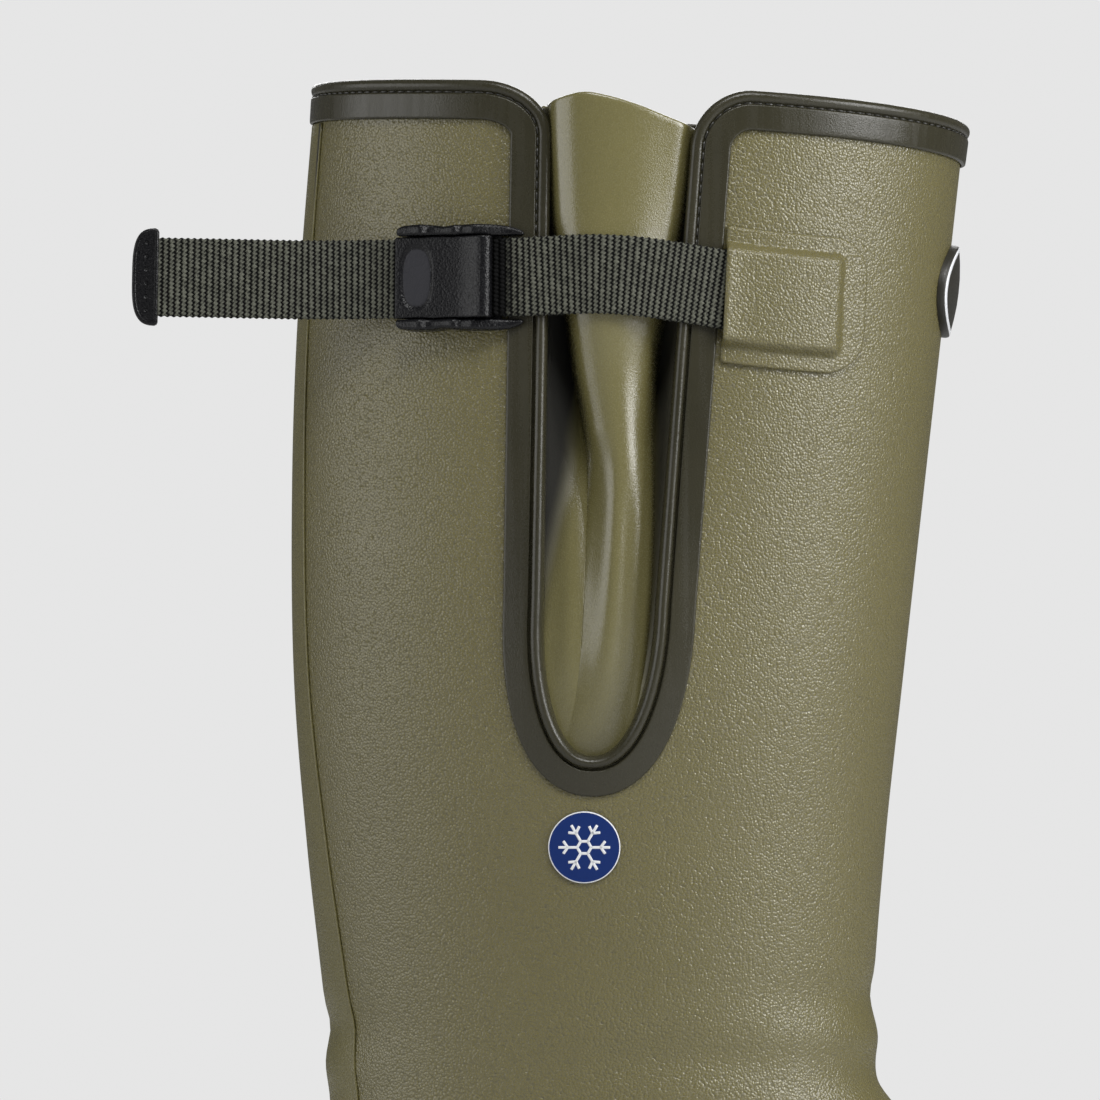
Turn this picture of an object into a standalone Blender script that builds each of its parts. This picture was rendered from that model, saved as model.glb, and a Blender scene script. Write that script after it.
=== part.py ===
"""Right-foot rubber wellington boot with a neoprene lining, a side gusset, a strap and a lever buckle.

Sizes are in millimetres and angles in radians. +X points to the toe, +Y to the inner side of the foot and
+Z up. The origin lies on the floor under the middle of the heel.
"""
import math
from collections import namedtuple

import bmesh
import bpy
from mathutils import Matrix, Vector

MM = 0.001
GAP = 0.3

# Wall and sheet thicknesses
WALL = 4.0
INSOLE_THICK = 4.0
GUSSET_THICK = 1.4
PATCH_THICK = 1.2
STRIP_THICK = 0.7
ROUNDEL_THICK = 0.6
BADGE_THICK = 2.2

# Upper: one row for each section from the sole line to the top line
Section = namedtuple(
    "Section",
    "level back_x back_z front_x front_z half_width widest_x front_power back_power sway waist follow lift",
)
UPPER_ROWS = [
    Section(0, -41.5, 28.0, 249.5, 23.7, 50.0, 165.0, 2.2, 2.8, 9.0, 8.0, 1.0, 0.0),
    Section(1, -43.0, 45.0, 252.0, 38.0, 52.0, 160.0, 2.2, 2.7, 9.0, 8.0, 0.7, 0.0),
    Section(2, -44.0, 58.0, 247.0, 52.0, 49.0, 145.0, 2.0, 2.6, 8.5, 6.0, 0.4, 0.0),
    Section(3, -43.5, 70.0, 232.0, 66.0, 46.0, 105.0, 1.8, 2.4, 7.5, 3.0, 0.2, 0.0),
    Section(4, -42.3, 82.0, 205.0, 78.0, 44.0, 65.0, 1.5, 2.2, 6.0, 1.0, 0.0, 0.0),
    Section(5, -40.6, 95.0, 170.0, 91.0, 43.5, 45.0, 1.6, 2.1, 4.0, 0.0, 0.0, 0.0),
    Section(6, -39.0, 108.0, 138.0, 107.0, 43.5, 38.0, 1.75, 2.0, 2.0, 0.0, 0.0, 0.0),
    Section(7, -38.0, 120.0, 115.0, 126.0, 44.0, 34.0, 1.9, 2.0, 0.0, 0.0, 0.0, 0.0),
    Section(8, -37.4, 136.0, 104.0, 145.0, 45.0, 32.0, 2.0, 2.0, 0.0, 0.0, 0.0, 0.0),
    Section(9, -37.2, 157.0, 101.2, 162.0, 46.5, 31.5, 2.0, 2.0, 0.0, 0.0, 0.0, 0.0),
    Section(10, -42.4, 205.0, 104.2, 205.0, 50.0, 32.0, 2.0, 2.0, 0.0, 0.0, 0.0, 0.0),
    Section(11, -45.9, 250.0, 109.0, 249.0, 53.5, 33.5, 2.0, 2.0, 0.0, 0.0, 0.0, 0.0),
    Section(12, -46.3, 300.0, 114.4, 297.0, 55.0, 36.0, 2.0, 2.0, 0.0, 0.0, 0.0, 0.0),
    Section(13, -44.6, 346.0, 119.4, 341.0, 55.0, 38.5, 2.0, 2.0, 0.0, 0.0, 0.0, 0.0),
    Section(14, -40.6, 397.9, 124.6, 387.2, 54.0, 41.5, 2.0, 2.0, 0.0, 0.0, 0.0, 1.8),
]
TOP_LEVEL = 14
RING_LEVELS = [0, 0.5, 1, 1.5, 2, 2.5, 3, 4, 5, 6, 6.5, 7, 7.5, 8, 9, 9.6, 10.3, 11, 12, 13, 14]
RING_STEPS = 60
SWAY_START_X, SWAY_LENGTH = 60.0, 190.0
WAIST_X, WAIST_REACH = 72.0, 38.0
OUTER_WAIST_SHARE = 0.5

# Sole: heights along the foot; the root is the floor of the tread and the ground the face of the lugs
SoleRow = namedtuple("SoleRow", "x top root ground")
SOLE_ROWS = [
    SoleRow(-52, 28.0, 7.5, 1.5),
    SoleRow(-36, 27.8, 6.0, 0.0),
    SoleRow(0, 27.6, 6.0, 0.0),
    SoleRow(42, 26.0, 6.0, 0.0),
    SoleRow(52, 25.2, 14.0, 8.0),
    SoleRow(95, 20.2, 10.5, 4.5),
    SoleRow(112, 18.2, 6.0, 0.0),
    SoleRow(165, 15.0, 5.0, 0.0),
    SoleRow(192, 15.4, 5.2, 0.0),
    SoleRow(225, 18.4, 8.6, 3.4),
    SoleRow(256, 24.3, 15.5, 10.3),
]
SoleStep = namedtuple("SoleStep", "grow down")
SOLE_STEPS = [
    SoleStep(2.4, 0.0),
    SoleStep(3.4, 1.0),
    SoleStep(3.4, 4.4),
    SoleStep(2.3, 5.0),
    SoleStep(2.3, 6.2),
    SoleStep(3.6, 6.8),
]
SOLE_EDGE_GROW = 3.2
SOLE_STATIONS = [-0.998, -0.985, -0.95, -0.88, -0.75, -0.665, -0.595, -0.5495, -0.475, -0.41, -0.34, -0.26,
                 -0.15, -0.05, 0.1, 0.25, 0.4, 0.55, 0.69, 0.81, 0.9, 0.96, 0.993]
INSOLE_SHRINK, INSOLE_SEAT = 6.4, 0.5
INSOLE_STATIONS = [-0.98, -0.9, -0.75, -0.62, -0.5, -0.38, -0.26, -0.12,
                   0.1, 0.3, 0.5, 0.68, 0.82, 0.93, 0.99]

# Lugs: rows across the tread, each of three blocks
LugRow = namedtuple("LugRow", "start end")
HEEL_LUGS = [LugRow(-38, -19), LugRow(-11, 11), LugRow(19, 38)]
FOREFOOT_LUGS = [LugRow(start, start + 10.5) for start in range(114, 232, 17)]
LUG_INSET = 2.5
LUG_GAP = 5.0
LUG_DRAFT = 0.8
LUG_ROOT_DEPTH = 1.0

# Gusset slot in the outer side of the shaft, measured at the cut edge of the wall
SLOT_BOTTOM_X, SLOT_BOTTOM_Z = 29.5, 226.0
SLOT_LEAN = 0.046
SLOT_HALF = 15.8
SLOT_BOWL = 39.0
SLOT_BOWL_POWER = 2.2
SLOT_FLARE = 0.03
SLOT_CORNER = 12.5
SLOT_BOWL_STEPS = 6
SLOT_SIDE_STEPS = 8
SLOT_CORNER_STEPS = 4
CUTTER_OUT, CUTTER_IN = 10.0, 16.0

# Binding profile: distance from the cut edge into the wall, height over the outside of the wall
ProfilePoint = namedtuple("ProfilePoint", "inward height")
BINDING_REACH = 8.4
BEAD = 1.6
EDGE_CLEAR = 0.4
BINDING_PROFILE = [
    ProfilePoint(BINDING_REACH, GAP),
    ProfilePoint(BINDING_REACH - 0.3, 1.2),
    ProfilePoint(4.4, 1.5),
    ProfilePoint(3.3, 1.1),
    ProfilePoint(2.1, 2.2),
    ProfilePoint(-0.5, 2.3),
    ProfilePoint(-BEAD, 1.0),
    ProfilePoint(-BEAD, -WALL),
    ProfilePoint(-EDGE_CLEAR, -WALL),
    ProfilePoint(-EDGE_CLEAR, GAP),
]

# Gusset: one row for each height; the pleat is a ridge with a valley at each side
Fold = namedtuple("Fold", "z ridge_x half out valley lobe")
GUSSET_ROWS = [
    Fold(219, 0.0, 10.0, -5.2, 5.2, 0.0),
    Fold(231, 1.0, 6.0, -5.1, 5.3, 0.0),
    Fold(241, 4.2, 5.6, -4.2, 5.5, 0.2),
    Fold(255, 6.6, 6.6, -2.6, 5.8, 1.0),
    Fold(272, 7.4, 7.0, -1.4, 6.4, 1.6),
    Fold(288, 5.6, 8.4, -0.6, 8.0, 1.4),
    Fold(303, 2.5, 8.6, 0.6, 12.0, 0.6),
    Fold(315, 0.5, 8.4, 1.8, 16.0, 0.0),
    Fold(328, -0.4, 10.2, 3.2, 18.0, 0.0),
    Fold(340, -0.5, 12.4, 4.3, 17.0, 0.0),
    Fold(348, -0.5, 13.4, 4.5, 15.0, 0.0),
    Fold(358, -0.5, 14.3, 4.5, 13.0, 0.0),
    Fold(372, -0.6, 15.4, 4.8, 11.0, 0.0),
    Fold(389.5, -0.8, 16.2, 5.6, 9.0, 0.0),
]
GUSSET_LAP = 6.0
GUSSET_SEAT = WALL + GUSSET_THICK / 2 + 0.45
GUSSET_SHOULDER = 2.6
GUSSET_TOP_FALL = 0.17
GUSSET_EDGE_IN = 0.5
GUSSET_SIDE_RUN = 0.5
LOBE_X, LOBE_REACH = -11.0, 4.0
GUSSET_ACROSS = [-1.0, -0.8, -0.62, -0.52, -0.44, -0.36, -0.28, -0.2, -0.1, 0.0,
                 0.1, 0.2, 0.28, 0.36, 0.44, 0.52, 0.62, 0.8, 1.0]

# Strap: inner face over the upper and middle line, from the patch to the buckle
STRAP_WIDTH, STRAP_THICK = 20.0, 1.4
StrapRow = namedtuple("StrapRow", "x over z")
STRAP_ROWS = [
    StrapRow(10.0, 3.0, 347.5),
    StrapRow(16.0, 3.4, 347.8),
    StrapRow(21.0, 4.0, 348.0),
    StrapRow(29.0, 5.4, 348.2),
    StrapRow(36.0, 5.8, 348.0),
    StrapRow(43.0, 5.2, 347.4),
    StrapRow(51.0, 3.6, 346.3),
    StrapRow(57.0, 2.4, 345.4),
    StrapRow(62.0, 1.9, 344.6),
    StrapRow(66.0, 0.9, 344.1),
    StrapRow(70.0, 0.5, 343.6),
    StrapRow(79.0, 0.4, 342.8),
    StrapRow(88.0, 0.4, 342.2),
]
STRAP_STEPS = 26
STRAP_BUCKLE_RUN = 4.0
FREE_TURN = 26.0
FREE_STEPS = 6
FREE_END_X, FREE_END_Z = -82.0, 348.4

# Patch over the front end of the strap
PATCH_END_X = 97.4
PATCH_HALF = 16.6
PATCH_CORNER = 9.0
PATCH_DROP = 1.0
PATCH_POCKET_HALF = 11.6
PATCH_POCKET_END = 88.6
PATCH_STATIONS = [62.8, 64.5, 68.0, 72.0, 80.0, 88.6, 90.2, 93.6, 96.2, 97.4]
PATCH_LEAN = 0.05
PATCH_CLEAR = 0.6
PATCH_POCKET_EASE = 0.1
PATCH_ACROSS = [-1.0, -0.78, -0.7, -0.35, 0.0, 0.35, 0.7, 0.78, 1.0]

# Buckle, in its own frame: along the strap, across it and out from the shaft
BUCKLE_X, BUCKLE_Z = -2.1, 347.6
BUCKLE_HALF_LENGTH = 16.0
BUCKLE_BASE_END = 9.6
BUCKLE_BASE_THICK = 1.2
BUCKLE_BASE_INSET = 0.6
RAIL_INNER, RAIL_WAIST, RAIL_OUTER, RAIL_BUMP = 10.3, 12.6, 12.9, 13.8
RAIL_HEIGHT = 6.6
RAIL_END_INSET = 0.8
RAIL_BUMPS = [-10.0, 10.0]
RAIL_BUMP_HALF, RAIL_BUMP_STEPS = 4.5, 2
STRAP_IN_BUCKLE = GAP + BUCKLE_BASE_THICK + GAP
LEVER_HALF_WIDTH = 9.9
LEVER_START, LEVER_ROLL_X = -15.8, 6.1
LEVER_THICK = 2.2
LEVER_EDGE_RUN, LEVER_EDGE_DROP = 1.0, 0.8
LEVER_SLOPE_RUN, LEVER_SLOPE_RISE = 5.0, 0.8
LEVER_ROLL = 2.3
LEVER_ROLL_STEPS = 8
LEVER_BASE = STRAP_IN_BUCKLE + STRAP_THICK + GAP

# Clip on the free end of the strap
TIP_LENGTH, TIP_WIDTH, TIP_THICK = 6.6, 24.5, 3.6
TIP_CORNER = 4.2
TIP_CORNER_STEPS = 4
TIP_POCKET = 2.4
TIP_POCKET_MOUTH = 2.0

# Small trim
ROUNDEL_X, ROUNDEL_Z, ROUNDEL_RADIUS = 27.5, 205.0, 9.0
BADGE_Z, BADGE_HALF_WIDTH, BADGE_HALF_HEIGHT = 347.0, 14.5, 11.8
TRIM_SEGMENTS = 24
TRIM_RINGS = [0.55, 1.0]
STRIP_SEAT = 0.5
StripRow = namedtuple("StripRow", "level half")
STRIP_ROWS = [StripRow(4, 22.0), StripRow(8.8, 20.0), StripRow(11, 16.0), StripRow(13.83, 13.0)]
STRIP_ACROSS = [-1.0, -0.68, -0.34, 0.0, 0.34, 0.68, 1.0]


def at(rows, key):
    """Read a table smoothly at a value of its first column."""
    keys = [row[0] for row in rows]
    last = len(rows) - 1
    key = min(max(key, keys[0]), keys[last])
    low = max(k for k in range(last) if keys[k] <= key)
    step = keys[low + 1] - keys[low]
    f = (key - keys[low]) / step

    def slope(k, column):
        before, after = max(k - 1, 0), min(k + 1, last)
        return (rows[after][column] - rows[before][column]) / (keys[after] - keys[before])

    values = [key]
    for column in range(1, len(rows[0])):
        start, end = rows[low][column], rows[low + 1][column]
        rise_in, rise_out = slope(low, column) * step, slope(low + 1, column) * step
        bend_in = 3 * (end - start) - 2 * rise_in - rise_out
        bend_out = 2 * (start - end) + rise_in + rise_out
        values.append(start + f * (rise_in + f * (bend_in + f * bend_out)))
    return type(rows[0])(*values)


def straight(rows, column, key):
    """Read one column of a table along straight lines."""
    for low, high in zip(rows, rows[1:]):
        if key <= high[0] or high is rows[-1]:
            f = min(max((key - low[0]) / (high[0] - low[0]), 0.0), 1.0)
            return low[column] + f * (high[column] - low[column])


def sole_top(x):
    """Height of the sole's top face, which the upper and the insole stand on."""
    return at(SOLE_ROWS, x).top


def swing(x):
    """Share of the toe's swing to the inner side at a place along the foot."""
    return (max(x - SWAY_START_X, 0.0) / SWAY_LENGTH) ** 2


def waist(x, spread):
    """Share of the waist's pinch, which is deeper on the inner side."""
    share = OUTER_WAIST_SHARE if spread > 0 else 1.0
    return share * math.exp(-((x - WAIST_X) / WAIST_REACH) ** 2)


def section_y(row, x, spread, grow=0.0):
    """Y of a section at x; spread runs from 1 on the outer side to -1 on the inner side."""
    return row.sway * swing(x) - spread * (row.half_width + grow - row.waist * waist(x, spread))


def section_z(row, x, spread):
    """Z of a section at x: a sloping line that can follow the sole and lift at the outer side."""
    share = (x - row.back_x) / (row.front_x - row.back_x)
    z = row.back_z + share * (row.front_z - row.back_z)
    chord = sole_top(row.back_x) + share * (sole_top(row.front_x) - sole_top(row.back_x))
    reach = row.front_x - row.widest_x
    lift = row.lift * max(spread, 0.0) * (1 + min(max((x - row.widest_x) / reach, -1.0), 1.0))
    return z + row.follow * (sole_top(x) - chord) + lift


def section_x(row, along, grow=0.0):
    """X of a section for a cosine-like place along it, from 1 at the front to -1 at the back."""
    reach = row.front_x - row.widest_x if along > 0 else row.widest_x - row.back_x
    return row.widest_x + (reach + grow) * along


def ring_point(level, angle):
    """Point of the upper's outside; the angle turns from the front over the outer side to the back."""
    row = at(UPPER_ROWS, level)
    cosine, sine = math.cos(angle), math.sin(angle)
    power = row.front_power if cosine > 0 else row.back_power
    along = math.copysign(abs(cosine) ** (2 / power), cosine)
    spread = math.copysign(abs(sine) ** (2 / power), sine)
    x = section_x(row, along)
    return Vector((x, section_y(row, x, spread), section_z(row, x, spread)))


def ring_normal(level, angle):
    """Outward direction of the upper at a level and an angle."""
    step = 0.01
    lower = min(level, TOP_LEVEL - step)
    up = ring_point(lower + step, angle) - ring_point(lower - step, angle)
    around = ring_point(level, angle + step) - ring_point(level, angle - step)
    return up.cross(around).normalized()


def solve_level(height_at):
    """Level at which a rising height passes zero, by halving."""
    low, high = 0.0, float(TOP_LEVEL)
    for _ in range(40):
        middle = (low + high) / 2
        if height_at(middle) < 0:
            low = middle
        else:
            high = middle
    return (low + high) / 2


def side_point(x, z):
    """Point of the upper's outer side at x and z."""
    def spread_of(row):
        front = x > row.widest_x
        reach = row.front_x - row.widest_x if front else row.widest_x - row.back_x
        power = row.front_power if front else row.back_power
        share = min(abs(x - row.widest_x) / reach, 1.0)
        return (1 - share ** power) ** (1 / power)

    def height(level):
        row = at(UPPER_ROWS, level)
        return section_z(row, x, spread_of(row)) - z

    row = at(UPPER_ROWS, solve_level(height))
    return Vector((x, section_y(row, x, spread_of(row)), z))


def end_of(row, y, way):
    """Point of one section at its front (way 1) or back (way -1) for a distance y from the middle."""
    reach = row.front_x - row.widest_x if way > 0 else row.widest_x - row.back_x
    power = row.front_power if way > 0 else row.back_power
    share = min(abs(y) / row.half_width, 1.0)
    x = row.widest_x + way * reach * (1 - share ** power) ** (1 / power)
    return Vector((x, y, section_z(row, x, 0.0)))


def end_point(y, z, way):
    """Point of the upper's front (way 1) or back (way -1) at y and z."""
    level = solve_level(lambda trial: end_of(at(UPPER_ROWS, trial), y, way).z - z)
    return end_of(at(UPPER_ROWS, level), y, way)


def chart_normal(chart, a, b, outward):
    """Outward direction of a chart of the upper, from small steps along both of its coordinates."""
    step = 0.4
    across = chart(a + step, b) - chart(a - step, b)
    up = chart(a, b + step) - chart(a, b - step)
    normal = across.cross(up).normalized()
    return normal if normal.dot(outward) > 0 else -normal


def side_normal(x, z):
    """Outward direction of the upper's outer side."""
    return chart_normal(side_point, x, z, Vector((0, -1, 0)))


def over_side(x, z, height):
    """Point at a height over the upper's outer side."""
    return side_point(x, z) + side_normal(x, z) * height


def over_end(y, z, way, height):
    """Point at a height over the upper's front or back."""
    normal = chart_normal(lambda a, b: end_point(a, b, way), y, z, Vector((way, 0, 0)))
    return end_point(y, z, way) + normal * height


def slot_half(rise):
    """Half width of the slot at a rise over its bottom."""
    if rise >= SLOT_BOWL:
        return SLOT_HALF + SLOT_FLARE * (rise - SLOT_BOWL)
    share = min((SLOT_BOWL - rise) / SLOT_BOWL, 1.0)
    return SLOT_HALF * (1 - share ** SLOT_BOWL_POWER) ** (1 / SLOT_BOWL_POWER)


def slot_middle(z):
    """X of the slot's middle line."""
    return SLOT_BOTTOM_X + SLOT_LEAN * (z - SLOT_BOTTOM_Z)


def slot_side_x(z, way):
    """X of the slot's front (way 1) or back (way -1) edge, before its top corner."""
    return slot_middle(z) + way * slot_half(z - SLOT_BOTTOM_Z)


def rim_angle(x):
    """Angle of the top line's outer side at x."""
    row = at(UPPER_ROWS, TOP_LEVEL)
    reach = row.front_x - row.widest_x if x > row.widest_x else row.widest_x - row.back_x
    return math.acos((x - row.widest_x) / reach)


def slot_corner(way):
    """Start and end heights of the round corner between a slot edge and the top line."""
    end = UPPER_ROWS[-1].back_z
    for _ in range(8):
        end = ring_point(TOP_LEVEL, rim_angle(slot_side_x(end, way) + way * SLOT_CORNER)).z
    return end - SLOT_CORNER, end


def slot_edge(way):
    """Points (x, z) of one slot edge from its bottom to the end of its top corner."""
    points = []
    for step in range(1, SLOT_BOWL_STEPS + 1):
        angle = math.pi / 2 * step / SLOT_BOWL_STEPS
        rise = SLOT_BOWL * (1 - math.cos(angle) ** (2 / SLOT_BOWL_POWER))
        points.append((slot_side_x(SLOT_BOTTOM_Z + rise, way), SLOT_BOTTOM_Z + rise))
    start, end = slot_corner(way)
    low = SLOT_BOTTOM_Z + SLOT_BOWL
    for step in range(1, SLOT_SIDE_STEPS + 1):
        z = low + (start - low) * step / SLOT_SIDE_STEPS
        points.append((slot_side_x(z, way), z))
    for step in range(1, SLOT_CORNER_STEPS + 1):
        angle = math.pi / 2 * step / SLOT_CORNER_STEPS
        z = start + (end - start) * math.sin(angle)
        points.append((slot_side_x(z, way) + way * SLOT_CORNER * (1 - math.cos(angle)), z))
    return points


def new_object(name, mesh, collection, material=None):
    """Put a mesh in a collection under a plain name."""
    item = bpy.data.objects.new(name, mesh)
    collection.objects.link(item)
    if material:
        mesh.materials.append(material)
    return item


def mesh_from(name, points, faces, closed=True):
    """Make a mesh in metres from points in millimetres; a closed one gets its faces turned outward."""
    mesh = bpy.data.meshes.new(name)
    mesh.from_pydata([point * MM for point in points], [], faces)
    if closed:
        shape = bmesh.new()
        shape.from_mesh(mesh)
        bmesh.ops.recalc_face_normals(shape, faces=shape.faces)
        shape.to_mesh(mesh)
        shape.free()
    mesh.shade_smooth()
    mesh.set_sharp_from_angle(angle=math.radians(35))
    return mesh


def loft_faces(rings, size, ring_closed, path_closed=False):
    """Quads between rings that follow each other."""
    faces = []
    for ring in range(rings if path_closed else rings - 1):
        low, high = ring * size, (ring + 1) % rings * size
        for step in range(size if ring_closed else size - 1):
            other = (step + 1) % size
            faces.append((low + step, high + step, high + other, low + other))
    return faces


def surface(name, rows, ring_closed=False):
    """Open surface through rows of points."""
    points = [point for row in rows for point in row]
    return mesh_from(name, points, loft_faces(len(rows), len(rows[0]), ring_closed), closed=False)


def round_surface(name, middle, rings):
    """Open surface of rings round a middle point."""
    size = len(rings[0])
    points = [point for ring in rings for point in ring] + [middle]
    faces = loft_faces(len(rings), size, True)
    faces += [(len(points) - 1, step, (step + 1) % size) for step in range(size)]
    return mesh_from(name, points, faces, closed=False)


def face_outward(item, outward):
    """Turn an open surface so that its first face looks along a direction."""
    if item.data.polygons[0].normal.dot(outward) < 0:
        item.data.flip_normals()


def thicken(item, thickness, offset):
    """Solidify an open surface: offset 1 grows it outward, -1 inward and 0 both ways."""
    solid = item.modifiers.new("Thickness", "SOLIDIFY")
    solid.thickness = thickness * MM
    solid.offset = offset
    solid.use_quality_normals = True


def boolean(item, other, operation):
    """Join or cut an object with another, exactly."""
    change = item.modifiers.new(operation.title(), "BOOLEAN")
    change.operation = operation
    change.solver = "EXACT"
    change.object = other


def hide_helper(item):
    """Mark a cutter or a piece that is joined to another as no sub-part of its own."""
    item.hide_render = True
    item.display_type = "WIRE"


def material(name, colour, roughness, metallic=0.0):
    """Principled material with one colour."""
    finish = bpy.data.materials.new(name)
    finish.use_nodes = True
    shader = finish.node_tree.nodes["Principled BSDF"]
    shader.inputs["Base Color"].default_value = (*colour, 1.0)
    shader.inputs["Roughness"].default_value = roughness
    shader.inputs["Metallic"].default_value = metallic
    return finish


def build_upper(parts, cutters):
    """Hollow upper, open at the collar, at the gusset slot and underneath."""
    angles = [2 * math.pi * step / RING_STEPS for step in range(RING_STEPS)]
    rows = [[ring_point(level, angle) for angle in angles] for level in RING_LEVELS]
    for point in rows[0]:
        point.z = sole_top(point.x) + GAP
    upper = new_object("upper", surface("upper", rows, True), parts,
                       material("olive_rubber", (0.16, 0.145, 0.085), 0.42))
    face_outward(upper, Vector((1, 0, 0)))
    thicken(upper, WALL, -1)
    boolean(upper, build_slot_cutter(cutters), "DIFFERENCE")


def build_slot_cutter(cutters):
    """Plug with the slot's outline, its sides square to the upper's own surface."""
    front, back = slot_edge(1), slot_edge(-1)
    over = UPPER_ROWS[-1].back_z + CUTTER_OUT
    outline = [(SLOT_BOTTOM_X, SLOT_BOTTOM_Z)] + front + [(front[-1][0], over), (back[-1][0], over)]
    outline += list(reversed(back))
    size = len(outline)
    points = [over_side(x, z, height) for height in (-CUTTER_IN, CUTTER_OUT) for x, z in outline]
    faces = loft_faces(2, size, True) + [tuple(range(size)), tuple(range(size, 2 * size))]
    cutter = new_object("slot_cutter", mesh_from("slot_cutter", points, faces), cutters)
    hide_helper(cutter)
    return cutter


def make_faces_agree(item):
    """Give all faces of an open surface the same side."""
    shape = bmesh.new()
    shape.from_mesh(item.data)
    bmesh.ops.recalc_face_normals(shape, faces=shape.faces)
    shape.to_mesh(item.data)
    shape.free()


def sole_ring(grow, stations, height):
    """Ring of the foot's outline, out along one side and back along the other."""
    row = UPPER_ROWS[0]
    power = {True: row.front_power, False: row.back_power}

    def edge_point(along, side):
        n = power[along > 0]
        spread = side * (1 - abs(along) ** n) ** (1 / n)
        x = section_x(row, along, grow)
        return Vector((x, section_y(row, x, spread, grow), height(x)))

    outer = [edge_point(along, 1) for along in stations]
    inner = [edge_point(along, -1) for along in reversed(stations)]
    return outer + inner


def cap_faces(first, size):
    """Strips that close a ring from its outer side to its inner side."""
    half = size // 2
    return [(first + k, first + k + 1, first + size - 2 - k, first + size - 1 - k) for k in range(half - 1)]


def ring_solid(name, rings):
    """Closed solid through rings, capped at both ends by strips."""
    size = len(rings[0])
    points = [point for ring in rings for point in ring]
    faces = loft_faces(len(rings), size, True)
    faces += cap_faces(0, size) + cap_faces((len(rings) - 1) * size, size)
    return mesh_from(name, points, faces)


def outline_y(x, side, inset):
    """Y of the sole's edge at x, moved in by an inset; side is 1 outside and -1 inside."""
    row = UPPER_ROWS[0]
    front = x > row.widest_x
    reach = (row.front_x - row.widest_x if front else row.widest_x - row.back_x) + SOLE_EDGE_GROW - inset
    power = row.front_power if front else row.back_power
    share = min(abs(x - row.widest_x) / reach, 1.0)
    spread = side * (1 - share ** power) ** (1 / power)
    return section_y(row, x, spread, SOLE_EDGE_GROW - inset)


def lug_points(row, block):
    """Eight corners of one block of a lug row: block 0 is on the outer side and 2 on the inner side."""
    corners = []
    for root in (False, True):
        draft = 0.0 if root else LUG_DRAFT
        for x in (row.start + draft, row.end - draft):
            outer, inner = outline_y(x, 1, LUG_INSET), outline_y(x, -1, LUG_INSET)
            width = (inner - outer - 2 * LUG_GAP) / 3
            low = outer + block * (width + LUG_GAP)
            column = "root" if root else "ground"
            z = straight(SOLE_ROWS, SoleRow._fields.index(column), x) + (LUG_ROOT_DEPTH if root else 0.0)
            corners += [Vector((x, low + draft, z)), Vector((x, low + width - draft, z))]
    return corners


def build_outsole(parts, cutters):
    """Sole with a grooved side, a heel with a breast, toe spring and three blocks in each lug row."""
    rings = [sole_ring(step.grow, SOLE_STATIONS, lambda x, down=step.down: sole_top(x) - down)
             for step in SOLE_STEPS]
    root_column = SoleRow._fields.index("root")
    rings.append(sole_ring(SOLE_EDGE_GROW, SOLE_STATIONS, lambda x: straight(SOLE_ROWS, root_column, x)))
    sole = new_object("outsole", ring_solid("outsole", rings), parts,
                      material("sole_rubber", (0.05, 0.047, 0.035), 0.55))
    points, faces = [], []
    block_faces = [(0, 1, 3, 2), (4, 6, 7, 5), (0, 4, 5, 1), (2, 3, 7, 6), (0, 2, 6, 4), (1, 5, 7, 3)]
    for row in HEEL_LUGS + FOREFOOT_LUGS:
        for block in range(3):
            faces += [tuple(len(points) + k for k in face) for face in block_faces]
            points += lug_points(row, block)
    lugs = new_object("lugs", mesh_from("lugs", points, faces), cutters)
    hide_helper(lugs)
    boolean(sole, lugs, "UNION")


def build_insole(parts):
    """Foot bed on the sole's top face, inside the wall."""
    rings = [sole_ring(-INSOLE_SHRINK, INSOLE_STATIONS, lambda x, up=up: sole_top(x) + up)
             for up in (INSOLE_SEAT, INSOLE_SEAT + INSOLE_THICK)]
    new_object("insole", ring_solid("insole", rings), parts, material("foot_bed", (0.03, 0.03, 0.032), 0.9))


def edge_path():
    """Places and outward directions along the slot's edges and the top line, as one closed path."""
    front, back = slot_edge(1), slot_edge(-1)
    path = [(side_point(SLOT_BOTTOM_X, SLOT_BOTTOM_Z), side_normal(SLOT_BOTTOM_X, SLOT_BOTTOM_Z))]
    path += [(side_point(x, z), side_normal(x, z)) for x, z in front[:-1]]
    start, end = rim_angle(front[-1][0]), rim_angle(back[-1][0])
    pitch = 2 * math.pi / RING_STEPS
    stop = end - 2 * math.pi
    even = [k * pitch for k in range(RING_STEPS, -RING_STEPS, -1)]
    turns = [start] + [turn for turn in even if stop + pitch / 3 < turn < start - pitch / 3] + [stop]
    path += [(ring_point(TOP_LEVEL, angle), ring_normal(TOP_LEVEL, angle)) for angle in turns]
    path += [(side_point(x, z), side_normal(x, z)) for x, z in reversed(back[:-1])]
    return path


def build_edge_binding(parts):
    """Binding with a flat band, a groove and a bead, swept along the slot's edges and the top line."""
    path = edge_path()
    points = []
    for k, (place, normal) in enumerate(path):
        heading = (path[(k + 1) % len(path)][0] - path[k - 1][0]).normalized()
        inward = heading.cross(normal).normalized()
        points += [place + inward * spot.inward + normal * spot.height for spot in BINDING_PROFILE]
    faces = loft_faces(len(path), len(BINDING_PROFILE), True, path_closed=True)
    new_object("edge_binding", mesh_from("edge_binding", points, faces), parts,
               material("dark_binding_rubber", (0.055, 0.053, 0.04), 0.3))


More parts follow.
